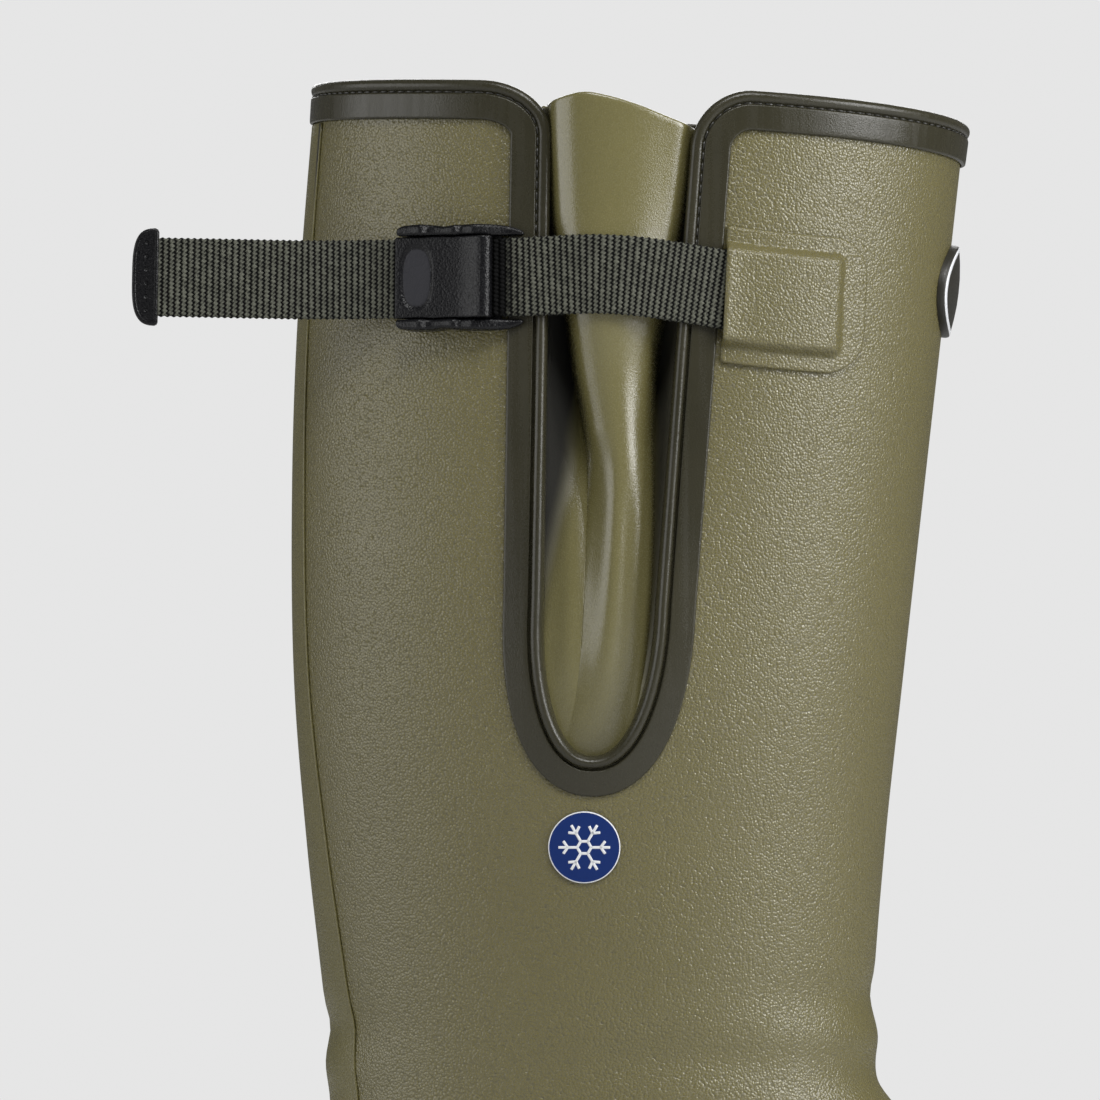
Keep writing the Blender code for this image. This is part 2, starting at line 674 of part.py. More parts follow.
def gusset_depth(fold, across, edge):
    """Height of the gusset over the upper's outside at a distance from the slot's middle."""
    off = abs(across - fold.ridge_x)
    lobe = fold.lobe * math.exp(-((across - LOBE_X) / LOBE_REACH) ** 2)
    if off < fold.half:
        return fold.out - (fold.out + fold.valley) * (off / fold.half) ** GUSSET_SHOULDER + lobe
    way = 1 if across > fold.ridge_x else -1
    run = max(edge - way * fold.ridge_x - fold.half, GUSSET_SIDE_RUN)
    share = min((off - fold.half) / run, 1.0)
    ease = share * share * (3 - 2 * share)
    return -fold.valley + (fold.valley - GUSSET_SEAT) * ease + lobe * (1 - ease)


def build_gusset(parts):
    """Pleated membrane behind the slot, lapping the wall from inside."""
    rows = []
    for fold in GUSSET_ROWS:
        edge = slot_half(max(fold.z - SLOT_BOTTOM_Z, 0.0))
        reach = edge + GUSSET_LAP
        row = []
        for share in GUSSET_ACROSS:
            across = share * reach
            x = slot_middle(fold.z) + across
            fall = GUSSET_TOP_FALL * across if fold is GUSSET_ROWS[-1] else 0.0
            row.append(over_side(x, fold.z - fall, gusset_depth(fold, across, edge - GUSSET_EDGE_IN)))
        rows.append(row)
    gusset = new_object("gusset", surface("gusset", rows), parts,
                        material("smooth_olive_rubber", (0.17, 0.155, 0.085), 0.3))
    face_outward(gusset, Vector((0, -1, 0)))
    thicken(gusset, GUSSET_THICK, 0)


def buckle_frame_matrix():
    """Frame of the buckle: X along the strap to the front, Y up across it, Z out from the shaft."""
    out = side_normal(BUCKLE_X, BUCKLE_Z)
    along = Vector((0, 0, 1)).cross(out).normalized()
    across = out.cross(along).normalized()
    frame = Matrix((along, across, out)).transposed().to_4x4()
    frame.translation = side_point(BUCKLE_X, BUCKLE_Z)
    return frame


def strap_path():
    """Places, outward directions and up directions along the strap's inner face, front to free end."""
    frame = buckle_frame_matrix()
    along, across, out = (frame.col[k].to_3d() for k in range(3))
    path = []
    first, last = STRAP_ROWS[-1].x, STRAP_ROWS[0].x + STRAP_BUCKLE_RUN
    for step in range(STRAP_STEPS):
        x = first + (last - first) * step / (STRAP_STEPS - 1)
        row = at(STRAP_ROWS, x)
        path.append((over_side(x, row.z, row.over), side_normal(x, row.z)))
    base = frame.translation + out * STRAP_IN_BUCKLE
    for place in (BUCKLE_BASE_END, 0.0, -BUCKLE_HALF_LENGTH):
        path.append((base + along * place, out))
    turn = math.acos(min(along.x, 1.0))
    here = path[-1][0].copy()
    stride = FREE_TURN / FREE_STEPS
    for step in range(1, FREE_STEPS + 1):
        lean = turn * (1 - (step - 0.5) / FREE_STEPS)
        here = here + Vector((-math.cos(lean), math.sin(lean), 0)) * stride
        share = step / FREE_STEPS
        path.append((here, out.lerp(Vector((0, -1, 0)), share).normalized()))
    end = Vector((FREE_END_X, here.y, FREE_END_Z))
    start = here
    for share in (0.5, 1.0):
        path.append((start.lerp(end, share), Vector((0, -1, 0))))
    return path


def build_strap(parts):
    """Flat webbing from the patch over the gusset, through the buckle, to its free end."""
    path = strap_path()
    points = []
    for k, (place, out) in enumerate(path):
        heading = (path[min(k + 1, len(path) - 1)][0] - path[max(k - 1, 0)][0]).normalized()
        up = heading.cross(out).normalized()
        out = up.cross(heading).normalized()
        half = up * STRAP_WIDTH / 2
        inner = [place - half, place + half]
        points += inner + [point + out * STRAP_THICK for point in reversed(inner)]
    faces = loft_faces(len(path), 4, True)
    faces += [(0, 1, 2, 3), tuple(len(points) - 4 + k for k in range(4))]
    new_object("strap", mesh_from("strap", points, faces), parts,
               material("webbing", (0.055, 0.056, 0.047), 0.8))


def patch_half(x):
    """Half height of the strap patch, with round corners at its front end."""
    past = x - (PATCH_END_X - PATCH_CORNER)
    if past <= 0:
        return PATCH_HALF
    return PATCH_HALF - PATCH_CORNER + math.sqrt(max(PATCH_CORNER ** 2 - past ** 2, 0.0))


def build_strap_patch(parts):
    """Patch that laps over the front end of the strap, raised where the strap lies under it."""
    rows = []
    for x in PATCH_STATIONS:
        strap = at(STRAP_ROWS, x)
        row = []
        for share in PATCH_ACROSS:
            off = share * patch_half(x)
            in_width = abs(off) <= PATCH_POCKET_HALF + PATCH_POCKET_EASE
            in_pocket = in_width and x <= PATCH_POCKET_END
            low = strap.over + STRAP_THICK + PATCH_CLEAR if in_pocket else GAP
            row.append(over_side(x + PATCH_LEAN * off, strap.z - PATCH_DROP + off, low))
        rows.append(row)
    patch = new_object("strap_patch", surface("strap_patch", rows), parts,
                       material("patch_rubber", (0.18, 0.165, 0.1), 0.42))
    face_outward(patch, Vector((0, -1, 0)))
    thicken(patch, PATCH_THICK, 1)


def flat_solid(name, outline, thickness, frame, collection, finish=None):
    """Extruded flat outline as a mesh, centred on the outline's plane and placed by a frame."""
    curve = bpy.data.curves.new(name, "CURVE")
    curve.dimensions = "2D"
    curve.fill_mode = "BOTH"
    curve.extrude = thickness / 2 * MM
    spline = curve.splines.new("POLY")
    spline.points.add(len(outline) - 1)
    for spot, (x, y) in zip(spline.points, outline):
        spot.co = (x * MM, y * MM, 0.0, 1.0)
    spline.use_cyclic_u = True
    source = bpy.data.objects.new(name + "_outline", curve)
    collection.objects.link(source)
    bpy.context.view_layer.update()
    seen = source.evaluated_get(bpy.context.evaluated_depsgraph_get())
    mesh = bpy.data.meshes.new_from_object(seen)
    bpy.data.objects.remove(source)
    shape = bmesh.new()
    shape.from_mesh(mesh)
    bmesh.ops.remove_doubles(shape, verts=shape.verts, dist=0.000001)
    bmesh.ops.recalc_face_normals(shape, faces=shape.faces)
    shape.to_mesh(mesh)
    shape.free()
    mesh.materials.clear()
    item = new_object(name, mesh, collection, finish)
    item.matrix_world = frame
    return item


def in_metres(frame):
    """The same frame with its place in metres."""
    placed = frame.copy()
    placed.translation = frame.translation * MM
    return placed


def rail_outline(side):
    """Front view of one buckle rail, with two rounded bumps on its outer edge."""
    outer = [(-BUCKLE_HALF_LENGTH, RAIL_OUTER - RAIL_END_INSET)]
    for middle in RAIL_BUMPS:
        foot = {-1: RAIL_OUTER, 1: RAIL_WAIST} if middle < 0 else {-1: RAIL_WAIST, 1: RAIL_OUTER}
        for step in range(-RAIL_BUMP_STEPS, RAIL_BUMP_STEPS + 1):
            share = step / RAIL_BUMP_STEPS
            low = foot[1 if share > 0 else -1]
            outer.append((middle + share * RAIL_BUMP_HALF, low + (RAIL_BUMP - low) * (1 - share * share)))
    outer.append((BUCKLE_HALF_LENGTH, RAIL_OUTER - RAIL_END_INSET))
    inner = [(BUCKLE_HALF_LENGTH, RAIL_INNER), (-BUCKLE_HALF_LENGTH, RAIL_INNER)]
    return [(x, side * y) for x, y in outer + inner]


def build_buckle(parts, cutters):
    """Lever buckle: a base under the strap with two rails, and the closed lever between them."""
    frame = buckle_frame_matrix()
    plastic = material("black_buckle_plastic", (0.018, 0.018, 0.019), 0.35)
    base_start, base_half = BUCKLE_BASE_INSET - BUCKLE_HALF_LENGTH, RAIL_OUTER - BUCKLE_BASE_INSET
    base = [(base_start, -base_half), (BUCKLE_BASE_END, -base_half),
            (BUCKLE_BASE_END, base_half), (base_start, base_half)]
    base_place = Matrix.Translation((0, 0, GAP + BUCKLE_BASE_THICK / 2))
    base_matrix = in_metres(frame @ base_place)
    buckle = flat_solid("buckle_frame", base, BUCKLE_BASE_THICK, base_matrix, parts, plastic)
    rail_place = Matrix.Translation((0, 0, GAP + BUCKLE_BASE_THICK / 2 + RAIL_HEIGHT / 2))
    for side, name in ((1, "rail_top"), (-1, "rail_bottom")):
        rail = flat_solid(name, rail_outline(side), RAIL_HEIGHT, in_metres(frame @ rail_place), cutters)
        hide_helper(rail)
        boolean(buckle, rail, "UNION")

    profile = [(LEVER_START, LEVER_BASE), (LEVER_ROLL_X, LEVER_BASE)]
    middle = LEVER_BASE + LEVER_ROLL
    for step in range(1, LEVER_ROLL_STEPS + 1):
        angle = -math.pi / 2 + math.pi * step / LEVER_ROLL_STEPS
        profile.append((LEVER_ROLL_X + LEVER_ROLL * math.cos(angle), middle + LEVER_ROLL * math.sin(angle)))
    top = LEVER_BASE + LEVER_THICK
    profile += [(LEVER_ROLL_X - LEVER_SLOPE_RUN, top + LEVER_SLOPE_RISE),
                (LEVER_START + LEVER_EDGE_RUN, top), (LEVER_START, top - LEVER_EDGE_DROP)]
    upright = Matrix.Rotation(math.pi / 2, 4, "X")
    flat_solid("buckle_lever", profile, 2 * LEVER_HALF_WIDTH, in_metres(frame @ upright), parts,
               material("black_lever_plastic", (0.028, 0.028, 0.03), 0.4))


def build_strap_tip(parts, cutters):
    """Clip with a round outer end that holds the free end of the strap."""
    (before, _), (place, out) = strap_path()[-2:]
    heading = (place - before).normalized()
    down = out.cross(heading).normalized()
    frame = Matrix((heading, down, out)).transposed().to_4x4()
    frame.translation = place - heading * TIP_POCKET + out * STRAP_THICK / 2
    half = TIP_WIDTH / 2
    outline = [(0.0, half), (0.0, -half)]
    for side in (-1, 1):
        for step in range(TIP_CORNER_STEPS + 1):
            angle = math.pi / 2 * (step if side < 0 else TIP_CORNER_STEPS - step) / TIP_CORNER_STEPS
            outline.append((TIP_LENGTH - TIP_CORNER + TIP_CORNER * math.sin(angle),
                            side * (half - TIP_CORNER + TIP_CORNER * math.cos(angle))))
    tip = flat_solid("strap_tip", outline, TIP_THICK, in_metres(frame), parts,
                     material("black_tip_plastic", (0.016, 0.016, 0.017), 0.4))
    pocket_half = STRAP_WIDTH / 2 + GAP
    pocket_end = TIP_POCKET + GAP
    pocket = [(-TIP_POCKET_MOUTH, -pocket_half), (pocket_end, -pocket_half),
              (pocket_end, pocket_half), (-TIP_POCKET_MOUTH, pocket_half)]
    cutter = flat_solid("tip_pocket", pocket, STRAP_THICK + 2 * GAP, in_metres(frame), cutters)
    hide_helper(cutter)
    boolean(tip, cutter, "DIFFERENCE")


def disc_rings(point_at, half_a, half_b):
    """Middle point and two rings of an oval on a chart of the upper."""
    rings = []
    for share in TRIM_RINGS:
        ring = []
        for step in range(TRIM_SEGMENTS):
            angle = 2 * math.pi * step / TRIM_SEGMENTS
            ring.append(point_at(share * half_a * math.cos(angle), share * half_b * math.sin(angle)))
        rings.append(ring)
    return point_at(0.0, 0.0), rings


def build_trim(parts):
    """Roundel on the outer side, badge on the front and strip over the back seam."""
    middle, rings = disc_rings(lambda a, b: over_side(ROUNDEL_X + a, ROUNDEL_Z + b, GAP),
                               ROUNDEL_RADIUS, ROUNDEL_RADIUS)
    roundel = new_object("roundel", round_surface("roundel", middle, rings), parts,
                         material("blue_roundel", (0.006, 0.03, 0.16), 0.35))
    middle, rings = disc_rings(lambda a, b: over_end(a, BADGE_Z + b, 1, GAP),
                               BADGE_HALF_WIDTH, BADGE_HALF_HEIGHT)
    badge = new_object("front_badge", round_surface("front_badge", middle, rings), parts,
                       material("badge_rubber", (0.035, 0.035, 0.032), 0.45))
    low, high = STRIP_ROWS[0].level, STRIP_ROWS[-1].level
    rows = []
    for level in [level for level in RING_LEVELS if low <= level < high] + [high]:
        section, half = at(UPPER_ROWS, level), at(STRIP_ROWS, level).half
        places = [end_of(section, share * half, -1) for share in STRIP_ACROSS]
        rows.append([over_end(place.y, place.z, -1, STRIP_SEAT) for place in places])
    strip = new_object("back_strip", surface("back_strip", rows), parts,
                       material("strip_rubber", (0.15, 0.14, 0.09), 0.42))
    for item, outward, thickness in ((roundel, Vector((0, -1, 0)), ROUNDEL_THICK),
                                     (badge, Vector((1, 0, 0)), BADGE_THICK),
                                     (strip, Vector((-1, 0, 0)), STRIP_THICK)):
        make_faces_agree(item)
        face_outward(item, outward)
        thicken(item, thickness, 1)


def main():
    """Clear the scene and build every piece of the boot."""
    for item in list(bpy.data.objects):
        bpy.data.objects.remove(item)
    parts = bpy.data.collections.new("neoprene_wellington_boot")
    cutters = bpy.data.collections.new("cutters")
    for collection in (parts, cutters):
        bpy.context.scene.collection.children.link(collection)
    build_outsole(parts, cutters)
    build_upper(parts, cutters)
    build_insole(parts)
    build_edge_binding(parts)
    build_gusset(parts)
    build_strap(parts)
    build_strap_patch(parts)
    build_buckle(parts, cutters)
    build_strap_tip(parts, cutters)
    build_trim(parts)


main()
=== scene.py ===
"""Dressed right-foot rubber wellington boot: neoprene lining, side gusset, strap and lever buckle.

Sizes are in millimetres and angles in radians, and meshes are made in metres. +X points to the toe, +Y to the
inner side of the foot and +Z up. The origin lies on the floor under the middle of the heel.
"""
import logging
import math
from dataclasses import dataclass, field
from enum import Enum
from typing import Any, Callable, NamedTuple, Sequence

import bmesh
import bpy
import numpy as np
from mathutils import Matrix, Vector
from numpy.typing import NDArray


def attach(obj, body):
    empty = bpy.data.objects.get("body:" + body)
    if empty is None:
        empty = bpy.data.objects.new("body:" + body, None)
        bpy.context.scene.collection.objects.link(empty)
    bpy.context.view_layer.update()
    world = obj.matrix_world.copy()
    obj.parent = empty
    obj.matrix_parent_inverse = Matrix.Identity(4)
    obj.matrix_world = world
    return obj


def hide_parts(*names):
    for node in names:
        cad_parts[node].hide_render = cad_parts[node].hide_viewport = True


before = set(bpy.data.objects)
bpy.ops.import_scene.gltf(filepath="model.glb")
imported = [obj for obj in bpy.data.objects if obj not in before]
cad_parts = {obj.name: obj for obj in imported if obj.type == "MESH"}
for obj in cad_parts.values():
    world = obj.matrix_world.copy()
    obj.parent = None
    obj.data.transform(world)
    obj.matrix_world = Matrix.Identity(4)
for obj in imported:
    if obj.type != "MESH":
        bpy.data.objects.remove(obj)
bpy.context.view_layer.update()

Array = NDArray[np.float64]
Colour = tuple[float, float, float]
Outline = list[tuple[float, float]]
Object = bpy.types.Object
Material = bpy.types.Material
Tree = bpy.types.NodeTree
Node = bpy.types.Node
Socket = bpy.types.NodeSocket

LOG = logging.getLogger("boot")
BODY = "root"
MM = 0.001
GAP = 0.3
WALL = 4.0
UP = np.array((0.0, 0.0, 1.0))
OUTWARD = np.array((0.0, -1.0, 0.0))
CORNER_POINTS = 5
LEAST_RADIUS = 0.01
FLECK_STEPS = (37.0, 11.0)
FLECK_TURN = 12.9898
FLECK_SPREAD = 43758.5453


class End(Enum):
    """Toe end or heel end of a piece that lies along the foot."""

    TOE = 1
    HEEL = -1


class Section(NamedTuple):
    """Level section of the upper: an egg from a back point to a front point."""

    level: float
    back_x: float
    back_z: float
    front_x: float
    front_z: float
    half_width: float
    widest_x: float
    front_power: float
    back_power: float
    sway: float = 0.0
    waist: float = 0.0
    follow: float = 0.0
    lift: float = 0.0


class SoleRow(NamedTuple):
    """Heights of the sole at a place along the foot."""

    x: float
    top: float
    root: float
    ground: float


class Crease(NamedTuple):
    """Soft trough (negative height) or ridge that runs round the ankle."""

    turn_deg: float
    z: float
    reach_deg: float
    width: float
    height: float
    slope: float


class Fold(NamedTuple):
    """Gusset pleat at one height: a ridge with a valley at each side."""

    z: float
    ridge_x: float
    half: float
    out: float
    valley: float
    lobe: float
    crown: float
    back_crisp: float
    front_crisp: float
    # dark_back and dark_front: where the painted shade beside the fold begins.
    dark_back: float
    dark_front: float


class EdgeRow(NamedTuple):
    """Height of the gusset's top edge at a distance from the slot's middle."""

    across: float
    z: float


class StrapRow(NamedTuple):
    """Inner face of the strap over the upper, and the height of its middle line."""

    x: float
    over: float
    z: float


class PathRow(NamedTuple):
    """Place and outward direction on a path, by the length run along it."""

    run: float
    x: float
    y: float
    z: float
    out_x: float
    out_y: float
    out_z: float


class BarRow(NamedTuple):
    """Height of a moulded face at a place along the buckle."""

    x: float
    z: float


class StripRow(NamedTuple):
    """Half width of the back strip at a level of the upper."""

    level: float
    half: float


class SoftBox(NamedTuple):
    """Soft light that looks at the shaft, with sizes in metres and power in watts."""

    name: str
    turn_deg: float
    height: float
    reach: float
    width: float
    tall: float
    power: float


UPPER_ROWS = (
    Section(0, -41.5, 28.0, 249.5, 23.7, 50.0, 165.0, 2.2, 2.8, 9.0, 8.0, 1.0),
    Section(1, -43.0, 45.0, 252.0, 38.0, 52.0, 160.0, 2.2, 2.7, 9.0, 8.0, 0.7),
    Section(2, -44.0, 58.0, 247.0, 52.0, 49.0, 145.0, 2.0, 2.6, 8.5, 6.0, 0.4),
    Section(3, -43.5, 70.0, 232.0, 66.0, 46.0, 105.0, 1.8, 2.4, 7.5, 3.0, 0.2),
    Section(4, -42.3, 82.0, 205.0, 78.0, 44.0, 65.0, 1.5, 2.2, 6.0, 1.0),
    Section(5, -40.6, 95.0, 170.0, 91.0, 43.5, 45.0, 1.6, 2.1, 4.0),
    Section(6, -39.0, 108.0, 138.0, 107.0, 43.5, 38.0, 1.75, 2.0, 2.0),
    Section(7, -38.0, 120.0, 115.0, 126.0, 44.0, 34.0, 1.9, 2.0),
    Section(8, -37.4, 136.0, 104.0, 145.0, 45.0, 32.0, 2.0, 2.0),
    Section(9, -37.2, 157.0, 101.2, 162.0, 46.5, 31.5, 2.0, 2.0),
    Section(10, -42.4, 205.0, 104.2, 205.0, 50.0, 32.0, 2.0, 2.0),
    Section(11, -45.9, 250.0, 109.0, 249.0, 53.5, 33.5, 2.0, 2.0),
    Section(12, -46.3, 300.0, 114.4, 297.0, 55.0, 36.0, 2.0, 2.0),
    Section(13, -44.6, 346.0, 119.4, 341.0, 55.0, 38.5, 2.0, 2.0),
    Section(14, -40.6, 397.9, 124.6, 387.2, 54.0, 41.5, 2.0, 2.0, 0.0, 0.0, 0.0, 1.8),
)
SOLE_ROWS = (
    SoleRow(-52, 28.0, 7.5, 1.5),
    SoleRow(-36, 27.8, 6.0, 0.0),
    SoleRow(0, 27.6, 6.0, 0.0),
    SoleRow(42, 26.0, 6.0, 0.0),
    SoleRow(52, 25.2, 14.0, 8.0),
    SoleRow(95, 20.2, 10.5, 4.5),
    SoleRow(112, 18.2, 6.0, 0.0),
    SoleRow(165, 15.0, 5.0, 0.0),
    SoleRow(192, 15.4, 5.2, 0.0),
    SoleRow(225, 18.4, 8.6, 3.4),
    SoleRow(256, 24.3, 15.5, 10.3),
)
CREASES = (
    Crease(0, 168, 80, 4.5, -0.9, 0),
    Crease(0, 157, 75, 5.0, 1.2, 2),
    Crease(0, 146, 60, 4.5, -1.2, 4),
    Crease(0, 136, 55, 5.5, 0.8, 4),
    Crease(0, 124, 45, 5.0, -0.8, 6),
    Crease(0, 113, 40, 6.0, 0.6, 6),
    Crease(180, 160, 60, 4.5, -1.0, 0),
    Crease(180, 150, 55, 5.0, 0.8, -3),
    Crease(180, 139, 45, 5.0, -0.7, -4),
    Crease(75, 152, 40, 6.0, -0.7, 9),
    Crease(-75, 152, 40, 6.0, -0.7, -9),
)
GUSSET_ROWS = (
    Fold(219, 0.0, 10.0, -5.2, 5.2, 0.0, 0.0, 0.0, 0.0, -22.0, 22.0),
    Fold(231, 1.2, 8.4, -5.0, 5.3, 0.1, 0.2, 0.0, 0.1, -20.0, 14.0),
    Fold(243, 3.15, 8.25, -4.0, 5.7, 0.6, 0.8, 0.0, 0.5, -20.0, 12.6),
    Fold(255, 4.1, 8.5, -2.9, 6.2, 1.4, 1.8, 0.0, 0.9, -16.8, 13.0),
    Fold(272, 4.45, 8.65, -1.8, 6.8, 2.0, 2.8, 0.05, 1.0, -13.8, 13.3),
    Fold(288, 4.3, 8.3, -0.8, 8.0, 2.2, 3.8, 0.3, 1.0, -10.8, 13.0),
    Fold(300, 3.85, 8.05, 0.0, 10.5, 1.6, 5.0, 0.7, 1.0, -8.8, 12.6),
    Fold(309, 2.9, 8.3, 0.7, 13.5, 0.6, 5.8, 1.0, 1.0, -8.4, 12.2),
    Fold(324, 1.0, 10.1, 2.2, 18.0, 0.0, 6.2, 1.0, 1.0, -9.7, 12.3),
    Fold(339, 0.2, 12.3, 4.0, 19.0, 0.0, 6.6, 1.0, 1.0, -12.7, 13.5),
    Fold(348, 0.0, 14.2, 4.4, 18.0, 0.0, 6.6, 1.0, 1.0, -14.8, 14.9),
    Fold(361, -0.2, 16.7, 4.5, 15.0, 0.0, 6.6, 1.0, 1.0, -17.4, 17.1),
    Fold(372, -0.2, 17.8, 4.8, 13.0, 0.0, 6.4, 1.0, 1.0, -18.5, 18.2),
    Fold(394, -0.4, 19.2, 5.8, 10.0, 0.0, 5.8, 1.0, 1.0, -20.1, 19.4),
)
GUSSET_TOP = (
    EdgeRow(-24.0, 389.6),
    EdgeRow(-17.0, 391.6),
    EdgeRow(-10.0, 393.2),
    EdgeRow(-4.0, 392.4),
    EdgeRow(4.0, 390.2),
    EdgeRow(12.0, 387.2),
    EdgeRow(24.0, 382.8),
)
STRAP_ROWS = (
    StrapRow(10.0, 3.0, 347.5),
    StrapRow(16.0, 3.4, 347.8),
    StrapRow(21.0, 4.0, 348.0),
    StrapRow(29.0, 5.4, 348.2),
    StrapRow(36.0, 5.8, 348.0),
    StrapRow(43.0, 5.2, 347.4),
    StrapRow(51.0, 3.6, 346.3),
    StrapRow(57.0, 2.4, 345.4),
    StrapRow(62.0, 1.9, 344.6),
    StrapRow(66.0, 0.9, 344.1),
    StrapRow(70.0, 0.5, 343.6),
    StrapRow(79.0, 0.4, 342.8),
    StrapRow(88.0, 0.4, 342.2),
)


def read(rows: Sequence[Any], key: Any) -> Any:
    """Read a table smoothly at values of its first column.

    Args:
        rows: Named rows in rising order of their first column.
        key: One value or an array of values of that column.

    Returns:
        A row of the same kind, with an array in each column.
    """
    table = np.array(rows, dtype=float)
    keys = table[:, 0]
    places = np.arange(len(keys))
    before, after = np.maximum(places - 1, 0), np.minimum(places + 1, len(keys) - 1)
    slopes = (table[after] - table[before]) / (keys[after] - keys[before])[:, None]
    key = np.clip(np.asarray(key, dtype=float), keys[0], keys[-1])
    low = np.clip(np.searchsorted(keys, key, side="right") - 1, 0, len(keys) - 2)
    step = (keys[low + 1] - keys[low])[..., None]
    share = (key - keys[low])[..., None] / step
    start, end = table[low], table[low + 1]
    rise_in, rise_out = slopes[low] * step, slopes[low + 1] * step
    bend_in = 3 * (end - start) - 2 * rise_in - rise_out
    bend_out = 2 * (start - end) + rise_in + rise_out
    values = start + share * (rise_in + share * (bend_in + share * bend_out))
    return type(rows[0])(*np.moveaxis(values, -1, 0))


def unit(vectors: Array) -> Array:
    """Scale vectors to length one."""
    return vectors / np.maximum(np.linalg.norm(vectors, axis=-1, keepdims=True), 1e-9)


def smooth_step(share: Any) -> Any:
    """Ease from 0 to 1 with flat ends."""
    share = np.clip(share, 0.0, 1.0)
    return share * share * (3 - 2 * share)


def bell(offset: Any) -> Any:
    """Smooth hump of height one and half width one."""
    return np.exp(-np.square(offset))


def soften(points: Array, rounds: int, closed: bool) -> Array:
    """Cut the corners of a polyline again and again until it is round.

    Args:
        points: Corners, one row each.
        rounds: How many times the corners are cut.
        closed: Whether the last point joins the first.

    Returns:
        The rounded polyline, whose ends stay in place if it is open.
    """
    for _ in range(rounds):
        after = np.roll(points, -1, axis=0)
        pairs = np.stack([0.75 * points + 0.25 * after, 0.25 * points + 0.75 * after], axis=1)
        if closed:
            points = pairs.reshape(-1, points.shape[1])
        else:
            points = np.vstack([points[:1], pairs[:-1].reshape(-1, points.shape[1]), points[-1:]])
    return points


